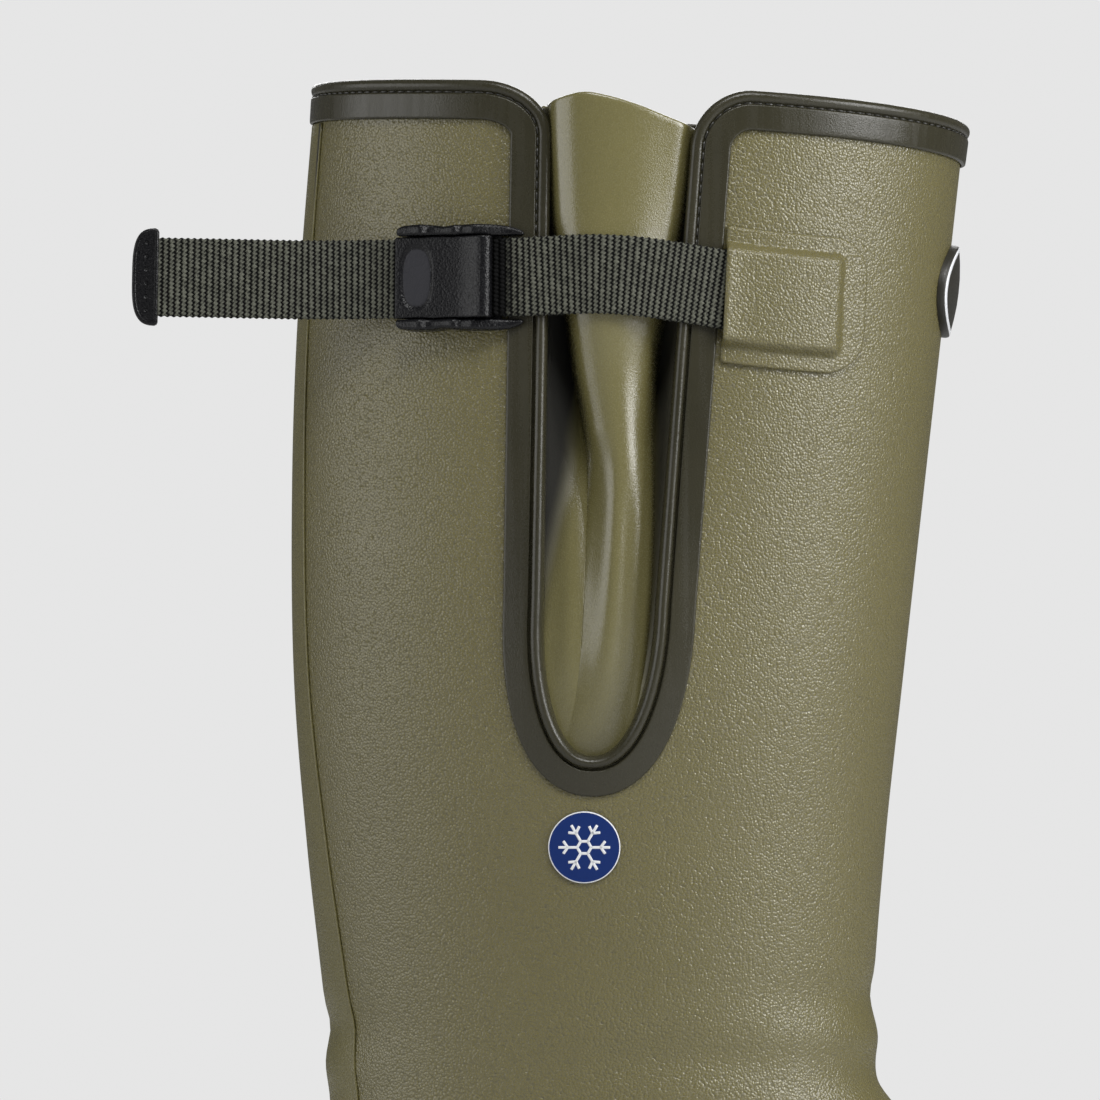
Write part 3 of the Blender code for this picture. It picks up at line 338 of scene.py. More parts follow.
@dataclass(frozen=True)
class Last:
    """Form of the foot and the shaft, from which every piece takes its place."""

    rows: tuple[Section, ...] = UPPER_ROWS
    sole: tuple[SoleRow, ...] = SOLE_ROWS
    creases: tuple[Crease, ...] = CREASES
    top: float = 14.0
    sway_start: float = 60.0
    sway_length: float = 190.0
    waist_x: float = 72.0
    waist_reach: float = 38.0
    outer_waist: float = 0.5
    ankle_x: float = 32.0
    ankle_reach: float = 71.0
    ankle_half: float = 46.0
    dent_x: float = 34.0
    dent_reach: float = 28.0
    dent_depth: float = 4.0
    dent_z: tuple[float, float] = (245.0, 335.0)
    chart_step: float = 0.4
    level_step: float = 0.01
    halvings: int = 30

    def sole_top(self, x: Any) -> Array:
        """Height of the sole's top face."""
        return read(self.sole, x).top

    def section_y(self, row: Section, x: Array, spread: Array, grow: float = 0.0) -> Array:
        """Y of a section.

        Args:
            row: The section.
            x: Places along the foot.
            spread: Share of the half width, from 1 on the outer side to -1 on the inner side.
            grow: How far the outline is moved out.

        Returns:
            Y of each place.
        """
        swing = np.square(np.maximum(x - self.sway_start, 0.0) / self.sway_length)
        pinch = np.where(spread > 0, self.outer_waist, 1.0) * bell((x - self.waist_x) / self.waist_reach)
        low, high = self.dent_z
        drawn_in = self.dent_depth * smooth_step((row.back_z - low) / (high - low))
        dent = drawn_in * np.maximum(spread, 0.0) * bell((x - self.dent_x) / self.dent_reach)
        return row.sway * swing - spread * (row.half_width + grow - row.waist * pinch) + dent

    def section_z(self, row: Section, x: Array, spread: Array) -> Array:
        """Z of a section: a sloping line that can follow the sole and lift at the outer side.

        Args:
            row: The section.
            x: Places along the foot.
            spread: Share of the half width, from 1 on the outer side to -1 on the inner side.

        Returns:
            Z of each place.
        """
        share = (x - row.back_x) / (row.front_x - row.back_x)
        low, high = self.sole_top(row.back_x), self.sole_top(row.front_x)
        bow = row.follow * (self.sole_top(x) - low - share * (high - low))
        ahead = np.clip((x - row.widest_x) / (row.front_x - row.widest_x), -1.0, 1.0)
        lift = row.lift * np.maximum(spread, 0.0) * (1 + ahead)
        return row.back_z + share * (row.front_z - row.back_z) + bow + lift

    @staticmethod
    def quarter(row: Section, toe: Any) -> tuple[Array, Array]:
        """Reach and power of a section toward the toe or toward the heel."""
        reach = np.where(toe, row.front_x - row.widest_x, row.widest_x - row.back_x)
        return reach, np.where(toe, row.front_power, row.back_power)

    def section_ring(self, row: Section, angle: Array, grow: float = 0.0) -> tuple[Array, Array, Array]:
        """Coordinates of a section at angles from the front over the outer side to the back.

        Args:
            row: The section.
            angle: Angles round it.
            grow: How far its outline is moved out.

        Returns:
            X, Y and the spread between the two sides.
        """
        cosine, sine = np.cos(angle), np.sin(angle)
        reach, power = self.quarter(row, cosine > 0)
        along = np.sign(cosine) * np.abs(cosine) ** (2 / power)
        spread = np.sign(sine) * np.abs(sine) ** (2 / power)
        x = row.widest_x + (reach + grow) * along
        return x, self.section_y(row, x, spread, grow), spread

    def ring_point(self, level: Any, angle: Any) -> Array:
        """Point of the upper's outside at a level and an angle."""
        level, angle = np.broadcast_arrays(np.asarray(level, float), np.asarray(angle, float))
        row = read(self.rows, level)
        x, y, spread = self.section_ring(row, angle)
        return np.stack([x, y, self.section_z(row, x, spread)], axis=-1)

    def ring_normal(self, level: Any, angle: Any) -> Array:
        """Outward direction of the upper at a level and an angle."""
        step = self.level_step
        low = np.clip(level, step, self.top - step)
        rise = self.ring_point(low + step, angle) - self.ring_point(low - step, angle)
        around = self.ring_point(level, angle + step) - self.ring_point(level, angle - step)
        return unit(np.cross(rise, around))

    def solve(self, shape: tuple[int, ...], height: Callable[[Section], Array], z: Array) -> Section:
        """Sections whose height at some place equals z, found by halving.

        Args:
            shape: Shape of the arrays.
            height: Height of a section at the place.
            z: Heights to reach.

        Returns:
            The sections, one for each place.
        """
        low, high = np.zeros(shape), np.full(shape, self.top)
        for _ in range(self.halvings):
            middle = (low + high) / 2
            under = height(read(self.rows, middle)) < z
            low, high = np.where(under, middle, low), np.where(under, high, middle)
        return read(self.rows, (low + high) / 2)

    def side_spread(self, row: Section, x: Any, grow: float = 0.0) -> Array:
        """Spread of a section's outer side at x, where its outline is moved out by a distance."""
        reach, power = self.quarter(row, x > row.widest_x)
        share = np.minimum(np.abs(x - row.widest_x) / (reach + grow), 1.0)
        return (1 - share ** power) ** (1 / power)

    def side_point(self, x: Any, z: Any) -> Array:
        """Point of the upper's outer side at x and z."""
        x, z = np.broadcast_arrays(np.asarray(x, float), np.asarray(z, float))
        row = self.solve(x.shape, lambda trial: self.section_z(trial, x, self.side_spread(trial, x)), z)
        return np.stack([x, self.section_y(row, x, self.side_spread(row, x)), z], axis=-1)

    def end_x(self, row: Section, y: Array, end: End) -> Array:
        """X of a section's toe or heel end at a distance y from the middle."""
        reach, power = self.quarter(row, end is End.TOE)
        share = np.minimum(np.abs(y) / row.half_width, 1.0)
        return row.widest_x + end.value * reach * (1 - share ** power) ** (1 / power)

    def end_point(self, y: Any, z: Any, end: End) -> Array:
        """Point of the upper's toe side or heel side at y and z."""
        y, z = np.broadcast_arrays(np.asarray(y, float), np.asarray(z, float))
        flat = np.zeros(y.shape)
        row = self.solve(y.shape, lambda trial: self.section_z(trial, self.end_x(trial, y, end), flat), z)
        return np.stack([self.end_x(row, y, end), y, z], axis=-1)

    def chart_normal(self, chart: Callable[[Any, Any], Array], a: Any, b: Any, outward: Array) -> Array:
        """Outward direction of a chart of the upper, from small steps along both coordinates."""
        across = chart(a + self.chart_step, b) - chart(a - self.chart_step, b)
        rise = chart(a, b + self.chart_step) - chart(a, b - self.chart_step)
        normal = unit(np.cross(across, rise))
        return np.where((normal @ outward)[..., None] > 0, normal, -normal)

    def side_normal(self, x: Any, z: Any) -> Array:
        """Outward direction of the upper's outer side."""
        return self.chart_normal(self.side_point, x, z, OUTWARD)

    def over_side(self, x: Any, z: Any, height: Any) -> Array:
        """Point at a height over the upper's outer side."""
        x, z, height = np.broadcast_arrays(*(np.asarray(value, float) for value in (x, z, height)))
        return self.side_point(x, z) + self.side_normal(x, z) * height[..., None]

    def over_end(self, y: Any, z: Any, end: End, height: Any) -> Array:
        """Point at a height over the upper's toe side or heel side."""
        y, z, height = np.broadcast_arrays(*(np.asarray(value, float) for value in (y, z, height)))
        outward = np.array((float(end.value), 0.0, 0.0))
        normal = self.chart_normal(lambda a, b: self.end_point(a, b, end), y, z, outward)
        return self.end_point(y, z, end) + normal * height[..., None]

    def relief(self, points: Array) -> Array:
        """Height of the ankle's creases at points of the upper's outside."""
        ahead = (points[..., 0] - self.ankle_x) / self.ankle_reach
        turn = np.arctan2(-points[..., 1] / self.ankle_half, ahead)
        total = np.zeros(points.shape[:-1])
        for crease in self.creases:
            past = np.angle(np.exp(1j * (turn - math.radians(crease.turn_deg))))
            off = past / math.radians(crease.reach_deg)
            line = crease.z + crease.slope * np.square(off) * np.sign(crease.height)
            fade = smooth_step(1 - np.abs(off))
            total += crease.height * fade * bell((points[..., 2] - line) / crease.width)
        return total


def grid_faces(rows: int, columns: int, wrap: bool = False, start: int = 0) -> list[list[int]]:
    """Quads of a grid of points.

    Args:
        rows: Number of rows.
        columns: Number of points in a row.
        wrap: Whether each row closes on itself.
        start: Number of the first point.

    Returns:
        Four point numbers for each face.
    """
    numbers = start + np.arange(rows * columns).reshape(rows, columns)
    if wrap:
        numbers = np.hstack([numbers, numbers[:, :1]])
    corners = (numbers[:-1, :-1], numbers[1:, :-1], numbers[1:, 1:], numbers[:-1, 1:])
    return np.stack(corners, axis=-1).reshape(-1, 4).tolist()


def link_mesh(name: str, shape: bmesh.types.BMesh) -> Object:
    """Make a linked object from a shape in metres, and free the shape."""
    mesh = bpy.data.meshes.new(name)
    shape.to_mesh(mesh)
    shape.free()
    item = bpy.data.objects.new(name, mesh)
    bpy.context.scene.collection.objects.link(item)
    return item


def make_mesh(name: str, points: Array, faces: list[list[int]], crisp_deg: float = 40.0) -> Object:
    """Make a closed mesh object in metres with its faces turned outward.

    Args:
        name: Name of the object.
        points: Points in millimetres.
        faces: Point numbers of each face.
        crisp_deg: Edges that turn more than this stay crisp.

    Returns:
        The linked object.
    """
    draft = bpy.data.meshes.new(name)
    draft.from_pydata((points.reshape(-1, 3) * MM).tolist(), [], faces)
    shape = bmesh.new()
    shape.from_mesh(draft)
    bpy.data.meshes.remove(draft)
    bmesh.ops.recalc_face_normals(shape, faces=shape.faces)
    item = link_mesh(name, shape)
    shade(item, crisp_deg)
    return item


def shade(item: Object, crisp_deg: float) -> None:
    """Shade an object smooth, apart from edges that turn more than an angle."""
    item.data.shade_smooth()
    item.data.set_sharp_from_angle(angle=math.radians(crisp_deg))


def loft(name: str, rings: Array, path_closed: bool = False, crisp_deg: float = 40.0) -> Object:
    """Closed solid through closed rings of points.

    Args:
        name: Name of the object.
        rings: Points as rings by points by coordinates.
        path_closed: Whether the last ring joins the first; if not, both ends are capped.
        crisp_deg: Edges that turn more than this stay crisp.

    Returns:
        The linked object.
    """
    count, size = rings.shape[:2]
    faces = grid_faces(count, size, wrap=True)
    last = (count - 1) * size
    if path_closed:
        faces += [[last + k, k, (k + 1) % size, last + (k + 1) % size] for k in range(size)]
    else:
        faces += [list(range(size)), list(range(last, last + size))]
    return make_mesh(name, rings, faces, crisp_deg)


def grid_normals(points: Array, toward: Array) -> Array:
    """Normals of a grid of points, turned to look along a direction on the whole."""
    normals = unit(np.cross(np.gradient(points, axis=0), np.gradient(points, axis=1)))
    return normals if (normals @ toward).mean() > 0 else -normals


def sheet(name: str, middle: Array, thickness: float, toward: Array, turn_steps: int = 4) -> Object:
    """Closed sheet of even thickness round a middle surface, with half-round edges.

    Args:
        name: Name of the object.
        middle: Grid of points of the middle surface.
        thickness: Thickness of the sheet.
        toward: Direction that the front looks to.
        turn_steps: Facets of the half-round edge.

    Returns:
        The linked object.
    """
    rows, columns = middle.shape[:2]
    half = thickness / 2
    normals = grid_normals(middle, toward)
    border = [(0, c) for c in range(columns)] + [(r, columns - 1) for r in range(1, rows)]
    border += [(rows - 1, c) for c in range(columns - 2, -1, -1)] + [(r, 0) for r in range(rows - 2, 0, -1)]
    spots = np.array(border)
    loop, loop_normal = middle[spots[:, 0], spots[:, 1]], normals[spots[:, 0], spots[:, 1]]
    heading = np.roll(loop, -1, axis=0) - np.roll(loop, 1, axis=0)
    out = unit(np.cross(heading, loop_normal))
    if ((loop - middle.reshape(-1, 3).mean(axis=0)) * out).sum() < 0:
        out = -out
    layers = [(middle + normals * half).reshape(-1, 3), (middle - normals * half).reshape(-1, 3)]
    for step in range(1, turn_steps):
        angle = math.pi * step / turn_steps
        layers.append(loop + half * (math.cos(angle) * loop_normal + math.sin(angle) * out))
    count, size = rows * columns, len(border)
    front_edge = [r * columns + c for r, c in border]
    chains = [front_edge]
    chains += [list(range(2 * count + k * size, 2 * count + (k + 1) * size)) for k in range(turn_steps - 1)]
    chains.append([count + number for number in front_edge])
    faces = grid_faces(rows, columns) + grid_faces(rows, columns, start=count)
    for low, high in zip(chains, chains[1:]):
        faces += [[low[k], high[k], high[(k + 1) % size], low[(k + 1) % size]] for k in range(size)]
    return make_mesh(name, np.vstack(layers), faces, crisp_deg=70.0)


def tag(item: Object, name: str, values: Array) -> None:
    """Keep values on the first points of a mesh, which are the front of a sheet; the rest get zero."""
    whole = np.zeros(len(item.data.vertices), dtype=np.float32)
    whole[:values.size] = values.ravel()
    item.data.attributes.new(name, "FLOAT", "POINT").data.foreach_set("value", whole)


def disc(name: str, chart: Callable[[Array, Array, Array], Array], profile: Array, segments: int) -> Object:
    """Closed disc on a chart of the upper, turned from a profile of radius and height.

    Args:
        name: Name of the object.
        chart: Gives a point from two coordinates and a height.
        profile: Radius and height of each ring, from the middle of the front to the middle of the back.
        segments: Number of points in a ring.

    Returns:
        The linked object.
    """
    angle = np.linspace(0.0, 2 * math.pi, segments, endpoint=False)
    rings = [chart(r * np.cos(angle), r * np.sin(angle), np.full(segments, h)) for r, h in profile]
    return loft(name, np.stack(rings), crisp_deg=60.0)


def bar(name: str, rows: Array, corner: float, place: Callable[[Array], Array], top_steps: int = 10,
        relief: Callable[[Array, Array], Array] | None = None) -> Object:
    """Moulded bar with round corners and ends, along the buckle.

    Args:
        name: Name of the object.
        rows: X, low Y, high Y, low Z and high Z of each station.
        corner: Radius of the corners.
        place: Maps points of the buckle's own frame to the boot.
        top_steps: Steps across the top face.
        relief: Height that is added to the top face at X and Y.

    Returns:
        The linked object.
    """
    first, last = rows[0, 0], rows[-1, 0]
    rings = []
    for x, low_y, high_y, low_z, high_z in rows:
        past = max(corner - min(x - first, last - x), 0.0)
        inset = corner - math.sqrt(max(corner * corner - past * past, 0.0))
        low_y, high_y, low_z, high_z = low_y + inset, high_y - inset, low_z + inset, high_z - inset
        radius = max(min(corner - inset, (high_z - low_z) / 2, (high_y - low_y) / 2), LEAST_RADIUS)
        left, right, floor, ceiling = low_y + radius, high_y - radius, low_z + radius, high_z - radius
        middles = ((left, floor, math.pi), (right, floor, 1.5 * math.pi), (right, ceiling, 0.0),
                   (left, ceiling, 0.5 * math.pi))
        ring = []
        for y, z, start in middles:
            turns = start + np.linspace(0.0, math.pi / 2, CORNER_POINTS)
            ring += [(x, y + radius * math.cos(turn), z + radius * math.sin(turn)) for turn in turns]
            if start == 0.0:
                spans = np.linspace(right, left, top_steps + 1)[1:-1]
                lift = relief(np.full(len(spans), x), spans) if relief else np.zeros(len(spans))
                ring += [(x, y_top, high_z + rise) for y_top, rise in zip(spans, lift)]
        rings.append(ring)
    return loft(name, place(np.array(rings)), crisp_deg=50.0)


def plate(name: str, outline: Outline, thickness: float, bevel: float, rim: float, sink: float) -> Object:
    """Flat plate with bevelled rims and a raised border, centred on the plane of its outline.

    Args:
        name: Name of the object.
        outline: Corners in the plane.
        thickness: Thickness of the plate.
        bevel: Width of the bevel along both rims.
        rim: Width of the raised border of the front.
        sink: Depth and slope of the front inside its border.

    Returns:
        The linked object, still in the plane z = 0.
    """
    shape = bmesh.new()
    low = [shape.verts.new((x * MM, y * MM, -thickness / 2 * MM)) for x, y in outline]
    made = bmesh.ops.extrude_face_region(shape, geom=[shape.faces.new(low)])
    high = [item for item in made["geom"] if isinstance(item, bmesh.types.BMVert)]
    bmesh.ops.translate(shape, verts=high, vec=(0, 0, thickness * MM))
    bmesh.ops.recalc_face_normals(shape, faces=shape.faces)
    rims = [edge for edge in shape.edges if abs(edge.verts[0].co.z - edge.verts[1].co.z) < thickness / 2 * MM]
    bmesh.ops.bevel(shape, geom=rims, offset=bevel * MM, segments=3, profile=0.5, affect="EDGES")
    front = max(shape.faces, key=lambda face: face.calc_center_median().z)
    bmesh.ops.inset_individual(shape, faces=[front], thickness=rim * MM, depth=0.0)
    bmesh.ops.inset_individual(shape, faces=[front], thickness=sink * MM, depth=-sink * MM)
    return link_mesh(name, shape)


def join_by(item: Object, other: Object, operation: str, crisp_deg: float = 40.0) -> None:
    """Cut or join an object with a helper, keep the result as its mesh and remove the helper.

    Args:
        item: The object.
        other: The helper.
        operation: Boolean operation.
        crisp_deg: Edges that turn more than this stay crisp.
    """
    change = item.modifiers.new(operation.title(), "BOOLEAN")
    change.operation = operation
    change.solver = "EXACT"
    change.object = other
    bpy.context.view_layer.update()
    seen = item.evaluated_get(bpy.context.evaluated_depsgraph_get())
    mesh = bpy.data.meshes.new_from_object(seen)
    item.modifiers.clear()
    item.data = mesh
    bpy.data.objects.remove(other)
    shade(item, crisp_deg)


class Graph:
    """Short way to add nodes and links to a node tree."""

    def __init__(self, tree: Tree) -> None:
        """Keep the tree that nodes are added to."""
        self.tree = tree

    def node(self, kind: str, inputs: dict[Any, Any] | None = None, **settings: Any) -> Node:
        """Add a node.

        Args:
            kind: Type of the node.
            inputs: Values or sockets by the name or number of the input.
            **settings: Properties of the node.

        Returns:
            The new node.
        """
        made = self.tree.nodes.new(kind)
        for name, value in settings.items():
            setattr(made, name, value)
        self.feed(made, inputs or {})
        return made

    def feed(self, node: Node, inputs: dict[Any, Any]) -> None:
        """Set inputs of a node, each from a socket or to a plain value.

        Args:
            node: The node.
            inputs: Values or sockets by the name or number of the input.
        """
        for name, value in inputs.items():
            if isinstance(value, Socket):
                self.tree.links.new(value, node.inputs[name])
            else:
                node.inputs[name].default_value = value

    def maths(self, operation: str, *values: Any) -> Socket:
        """Add a Math node and give back its result."""
        return self.node("ShaderNodeMath", dict(enumerate(values)), operation=operation).outputs[0]

    def vector(self, operation: str, first: Any, second: Any) -> Socket:
        """Add a Vector Math node and give back its result."""
        return self.node("ShaderNodeVectorMath", {0: first, 1: second}, operation=operation).outputs[0]

    def noise(self, place: Any, scale: Any, detail: float) -> Socket:
        """Add a Noise texture and give back its value."""
        inputs = {"Vector": place, "Scale": scale, "Detail": detail}
        return self.node("ShaderNodeTexNoise", inputs).outputs["Fac"]

    def mark(self, name: str) -> Node:
        """Add a node that reads values kept on the mesh."""
        return self.node("ShaderNodeAttribute", attribute_name=name, attribute_type="GEOMETRY")

    def span(self, value: Any, low: float, high: float, to_low: float = 0.0, to_high: float = 1.0) -> Socket:
        """Map a value from one span to another, with soft ends."""
        inputs = {"Value": value, "From Min": low, "From Max": high, "To Min": to_low, "To Max": to_high}
        return self.node("ShaderNodeMapRange", inputs, interpolation_type="SMOOTHSTEP").outputs["Result"]

    def bump(self, height: Any, depth: float, under: Any = None, strength: float = 1.0) -> Socket:
        """Add a Bump node and give back its normal.

        Args:
            height: Share of the depth.
            depth: Depth of the relief.
            under: Normal that the relief lies on, if it isn't the surface's own.
            strength: Strength of the relief.

        Returns:
            The normal.
        """
        inputs = {"Strength": strength, "Distance": depth * MM, "Height": height}
        if under is not None:
            inputs["Normal"] = under
        return self.node("ShaderNodeBump", inputs).outputs["Normal"]

    def blend(self, share: Any, first: Any, second: Any) -> Socket:
        """Mix two colours."""
        made = self.node("ShaderNodeMix", data_type="RGBA")
        ends = [end if isinstance(end, Socket) else (*end, 1.0) for end in (first, second)]
        self.feed(made, {0: share, 6: ends[0], 7: ends[1]})
        return made.outputs[2]


def new_group(name: str, inputs: dict[str, float], outputs: Sequence[str]) -> tuple[Graph, Any, Any]:
    """Start a shader node group of plain values.

    Args:
        name: Name of the group.
        inputs: Names and first values of its inputs.
        outputs: Names of its outputs.

    Returns:
        The graph, the node that holds the inputs and the node that holds the outputs.
    """
    tree = bpy.data.node_groups.new(name, "ShaderNodeTree")
    for label, value in inputs.items():
        tree.interface.new_socket(label, in_out="INPUT", socket_type="NodeSocketFloat").default_value = value
    for label in outputs:
        tree.interface.new_socket(label, in_out="OUTPUT", socket_type="NodeSocketFloat")
    graph = Graph(tree)
    return graph, graph.node("NodeGroupInput"), graph.node("NodeGroupOutput")


def grain_group() -> Tree:
    """Pebbled grain of moulded rubber: small cushions with creases between them."""
    graph, given, result = new_group("pebble grain", {"Cells": 900.0, "Stray": 0.0006}, ("Height", "Crease"))
    place = graph.node("ShaderNodeTexCoord").outputs["Object"]
    drift = graph.node("ShaderNodeTexNoise", {"Vector": place, "Scale": 600.0, "Detail": 2.0})
    centred = graph.vector("SUBTRACT", drift.outputs["Color"], (0.5, 0.5, 0.5))
    pushed = graph.node("ShaderNodeVectorMath", {0: centred, "Scale": given.outputs["Stray"]},
                        operation="SCALE").outputs[0]
    moved = graph.vector("ADD", place, pushed)
    inputs = {"Vector": moved, "Scale": given.outputs["Cells"]}
    edges = graph.node("ShaderNodeTexVoronoi", inputs, feature="DISTANCE_TO_EDGE").outputs["Distance"]
    domes = graph.node("ShaderNodeTexVoronoi", inputs, feature="F1").outputs["Distance"]
    cushion = graph.maths("SUBTRACT", 1.0, graph.maths("POWER", domes, 2.0))
    finer = graph.maths("MULTIPLY", graph.noise(moved, 700.0, 1.0), 0.15)
    depth = graph.span(graph.noise(place, 22.0, 2.0), 0.35, 0.65, 0.8, 1.0)
    graph.feed(result, {"Height": graph.maths("MULTIPLY", graph.maths("ADD", cushion, finer), depth),
                        "Crease": graph.span(edges, 0.0, 0.13, 1.0, 0.0)})
    return graph.tree


def mottle_group() -> Tree:
    """Slow clouds, fine specks and upright streaks that keep a moulded surface from looking flat."""
    sizes = {"Clouds": 18.0, "Specks": 2600.0, "Streaks": 420.0}
    graph, given, result = new_group("mottle", sizes, ("Cloud", "Speck", "Streak"))
    place = graph.node("ShaderNodeTexCoord").outputs["Object"]
    drawn = graph.vector("MULTIPLY", place, (1.0, 1.0, 0.04))
    clouds = graph.noise(place, given.outputs["Clouds"], 4.0)
    specks = graph.noise(place, given.outputs["Specks"], 2.0)
    streaks = graph.noise(drawn, given.outputs["Streaks"], 2.0)
    graph.feed(result, {"Cloud": graph.span(clouds, 0.3, 0.7), "Speck": graph.span(specks, 0.3, 0.7),
                        "Streak": graph.span(streaks, 0.3, 0.7, -1.0)})
    return graph.tree


@dataclass(frozen=True)
class Groups:
    """Node groups that the finishes share."""

    grain: Tree = field(default_factory=grain_group)
    mottle: Tree = field(default_factory=mottle_group)


def start_material(name: str) -> tuple[Material, Graph, Node]:
    """Make a node material and give back it, its graph and its shader."""
    made = bpy.data.materials.new(name)
    made.use_nodes = True
    return made, Graph(made.node_tree), made.node_tree.nodes["Principled BSDF"]


@dataclass(frozen=True)
class MouldedFinish:
    """Moulded rubber or plastic: base colour, clouds, specks and, where it has one, a pebbled grain whose
    creases get painted shade; a value kept on the mesh can paint shade or a pale inlay.
    """

    name: str
    colour: Colour
    shade: Colour
    roughness: float
    rough_spread: float = 0.08
    cells: float = 0.0
    grain_depth: float = 0.0
    # crease_shade_share and crease_shade_tint set the painted shade in the grain's creases.
    crease_shade_share: float = 0.0
    crease_rough: float = 0.0
    crease_shade_tint: float = 0.45
    speck_depth: float = 0.02
    streak: float = 0.0
    coat: float = 0.0
    coat_roughness: float = 0.2
    specular: float = 0.5
    # A value kept on the mesh that paints shade (the gusset's gaps, the strip's seam edge) or a pale inlay
    # (the lever's oval) into the colour; where it paints shade it also dulls the reflection.
    shade_or_inlay_mark: str = ""
    mark_tint: float = 0.04
    mark_rough: float = 0.95

    def material(self, groups: Groups) -> Material:
        """Build the material.

        Args:
            groups: The shared node groups.

        Returns:
            The material.
        """
        made, graph, shader = start_material(self.name)
        mottle = graph.node("ShaderNodeGroup", node_tree=groups.mottle).outputs
        colour = graph.blend(mottle["Cloud"], self.colour, self.shade)
        rough = graph.span(mottle["Speck"], 0.0, 1.0, self.roughness - self.rough_spread,
                           self.roughness + self.rough_spread)
        normal = graph.bump(mottle["Speck"], self.speck_depth)
        coat = self.coat
        if self.cells:
            grain = graph.node("ShaderNodeGroup", {"Cells": self.cells}, node_tree=groups.grain).outputs
            # Painted shade: the colour darkens toward a dark copy of the shade colour in the grain's creases.
            dark = tuple(self.crease_shade_tint * part for part in self.shade)
            colour = graph.blend(graph.maths("MULTIPLY", grain["Crease"], self.crease_shade_share), colour, dark)
            rough = graph.maths("ADD", rough, graph.maths("MULTIPLY", grain["Crease"], self.crease_rough))
            normal = graph.bump(grain["Height"], self.grain_depth, under=normal)
        if self.streak:
            rough = graph.maths("ADD", rough, graph.maths("MULTIPLY", mottle["Streak"], self.streak))
        # Painted shade, or the pale inlay on the plastic: blend toward the marked colour, roughen and drop
        # the coat where the mark is.
        if self.shade_or_inlay_mark:
            mark = graph.mark(self.shade_or_inlay_mark).outputs["Fac"]
            colour = graph.blend(mark, colour, tuple(self.mark_tint * part for part in self.shade))
            rough = graph.maths("MAXIMUM", rough, graph.maths("MULTIPLY", mark, self.mark_rough))
            coat = graph.maths("SUBTRACT", self.coat, graph.maths("MULTIPLY", mark, self.coat))
        graph.feed(shader, {"Base Color": colour, "Roughness": rough, "Normal": normal, "Coat Weight": coat,
                            "Coat Roughness": self.coat_roughness, "Specular IOR Level": self.specular})
        return made


@dataclass(frozen=True)
class WebbingFinish:
    """Woven strap: slubs over gaps painted dark as their shade, with fine fibres along each slub."""

    name: str
    slub: Colour
    gap: Colour
    roughness: float = 0.62
    specular: float = 0.12
    lit_from: float = 0.12
    lit_to: float = 0.72
    fibre_along: float = 2.2
    fibre_across: float = 9.0
    fibre_shade: float = 0.55
    fibre_depth: float = 0.1

    def material(self) -> Material:
        """Build the material from the weave's height kept on the mesh, which is painted dark as shade where
        it is low and beside the lever's roll.
        """
        made, graph, shader = start_material(self.name)
        part = graph.node("ShaderNodeSeparateXYZ", {0: graph.mark("weave").outputs["Vector"]}).outputs
        along = graph.maths("MULTIPLY", part["X"], self.fibre_along)
        across = graph.maths("MULTIPLY", part["Y"], self.fibre_across)
        place = graph.node("ShaderNodeCombineXYZ", {"X": along, "Y": across})
        fibre = graph.noise(place.outputs[0], 1.0, 3.0)
        # Painted shade: where the weave lies low the colour goes to the near-black gap colour; the random
        # flecks are the yarn's own tone.
        lit = graph.span(part["Z"], self.lit_from, self.lit_to)
        tint = graph.maths("MULTIPLY", lit, graph.span(fibre, 0.25, 0.75, self.fibre_shade))
        graph.feed(shader, {"Base Color": graph.blend(tint, self.gap, self.slub), "Roughness": self.roughness,
                            "Normal": graph.bump(fibre, self.fibre_depth, strength=0.8),
                            "Specular IOR Level": self.specular})
        return made


@dataclass(frozen=True)
class KnitFinish:
    """Knitted face of the neoprene lining and of the foot bed: fine ribs and a soft sheen."""

    name: str
    colour: Colour
    thread: Colour
    ribs: float = 900.0
    depth: float = 0.2
    roughness: float = 0.9
    sheen: float = 0.2

    def material(self) -> Material:
        """Build the material."""
        made, graph, shader = start_material(self.name)
        place = graph.node("ShaderNodeTexCoord").outputs["Object"]
        rows = graph.node("ShaderNodeTexWave", {"Vector": place, "Scale": self.ribs / 3, "Distortion": 2.0},
                          bands_direction="Z").outputs["Fac"]
        loops = graph.node("ShaderNodeTexVoronoi", {"Vector": place, "Scale": self.ribs}).outputs["Distance"]
        graph.feed(shader, {"Base Color": graph.blend(rows, self.colour, self.thread),
                            "Normal": graph.bump(graph.maths("ADD", rows, loops), self.depth, strength=0.7),
                            "Roughness": self.roughness, "Sheen Weight": self.sheen})
        return made


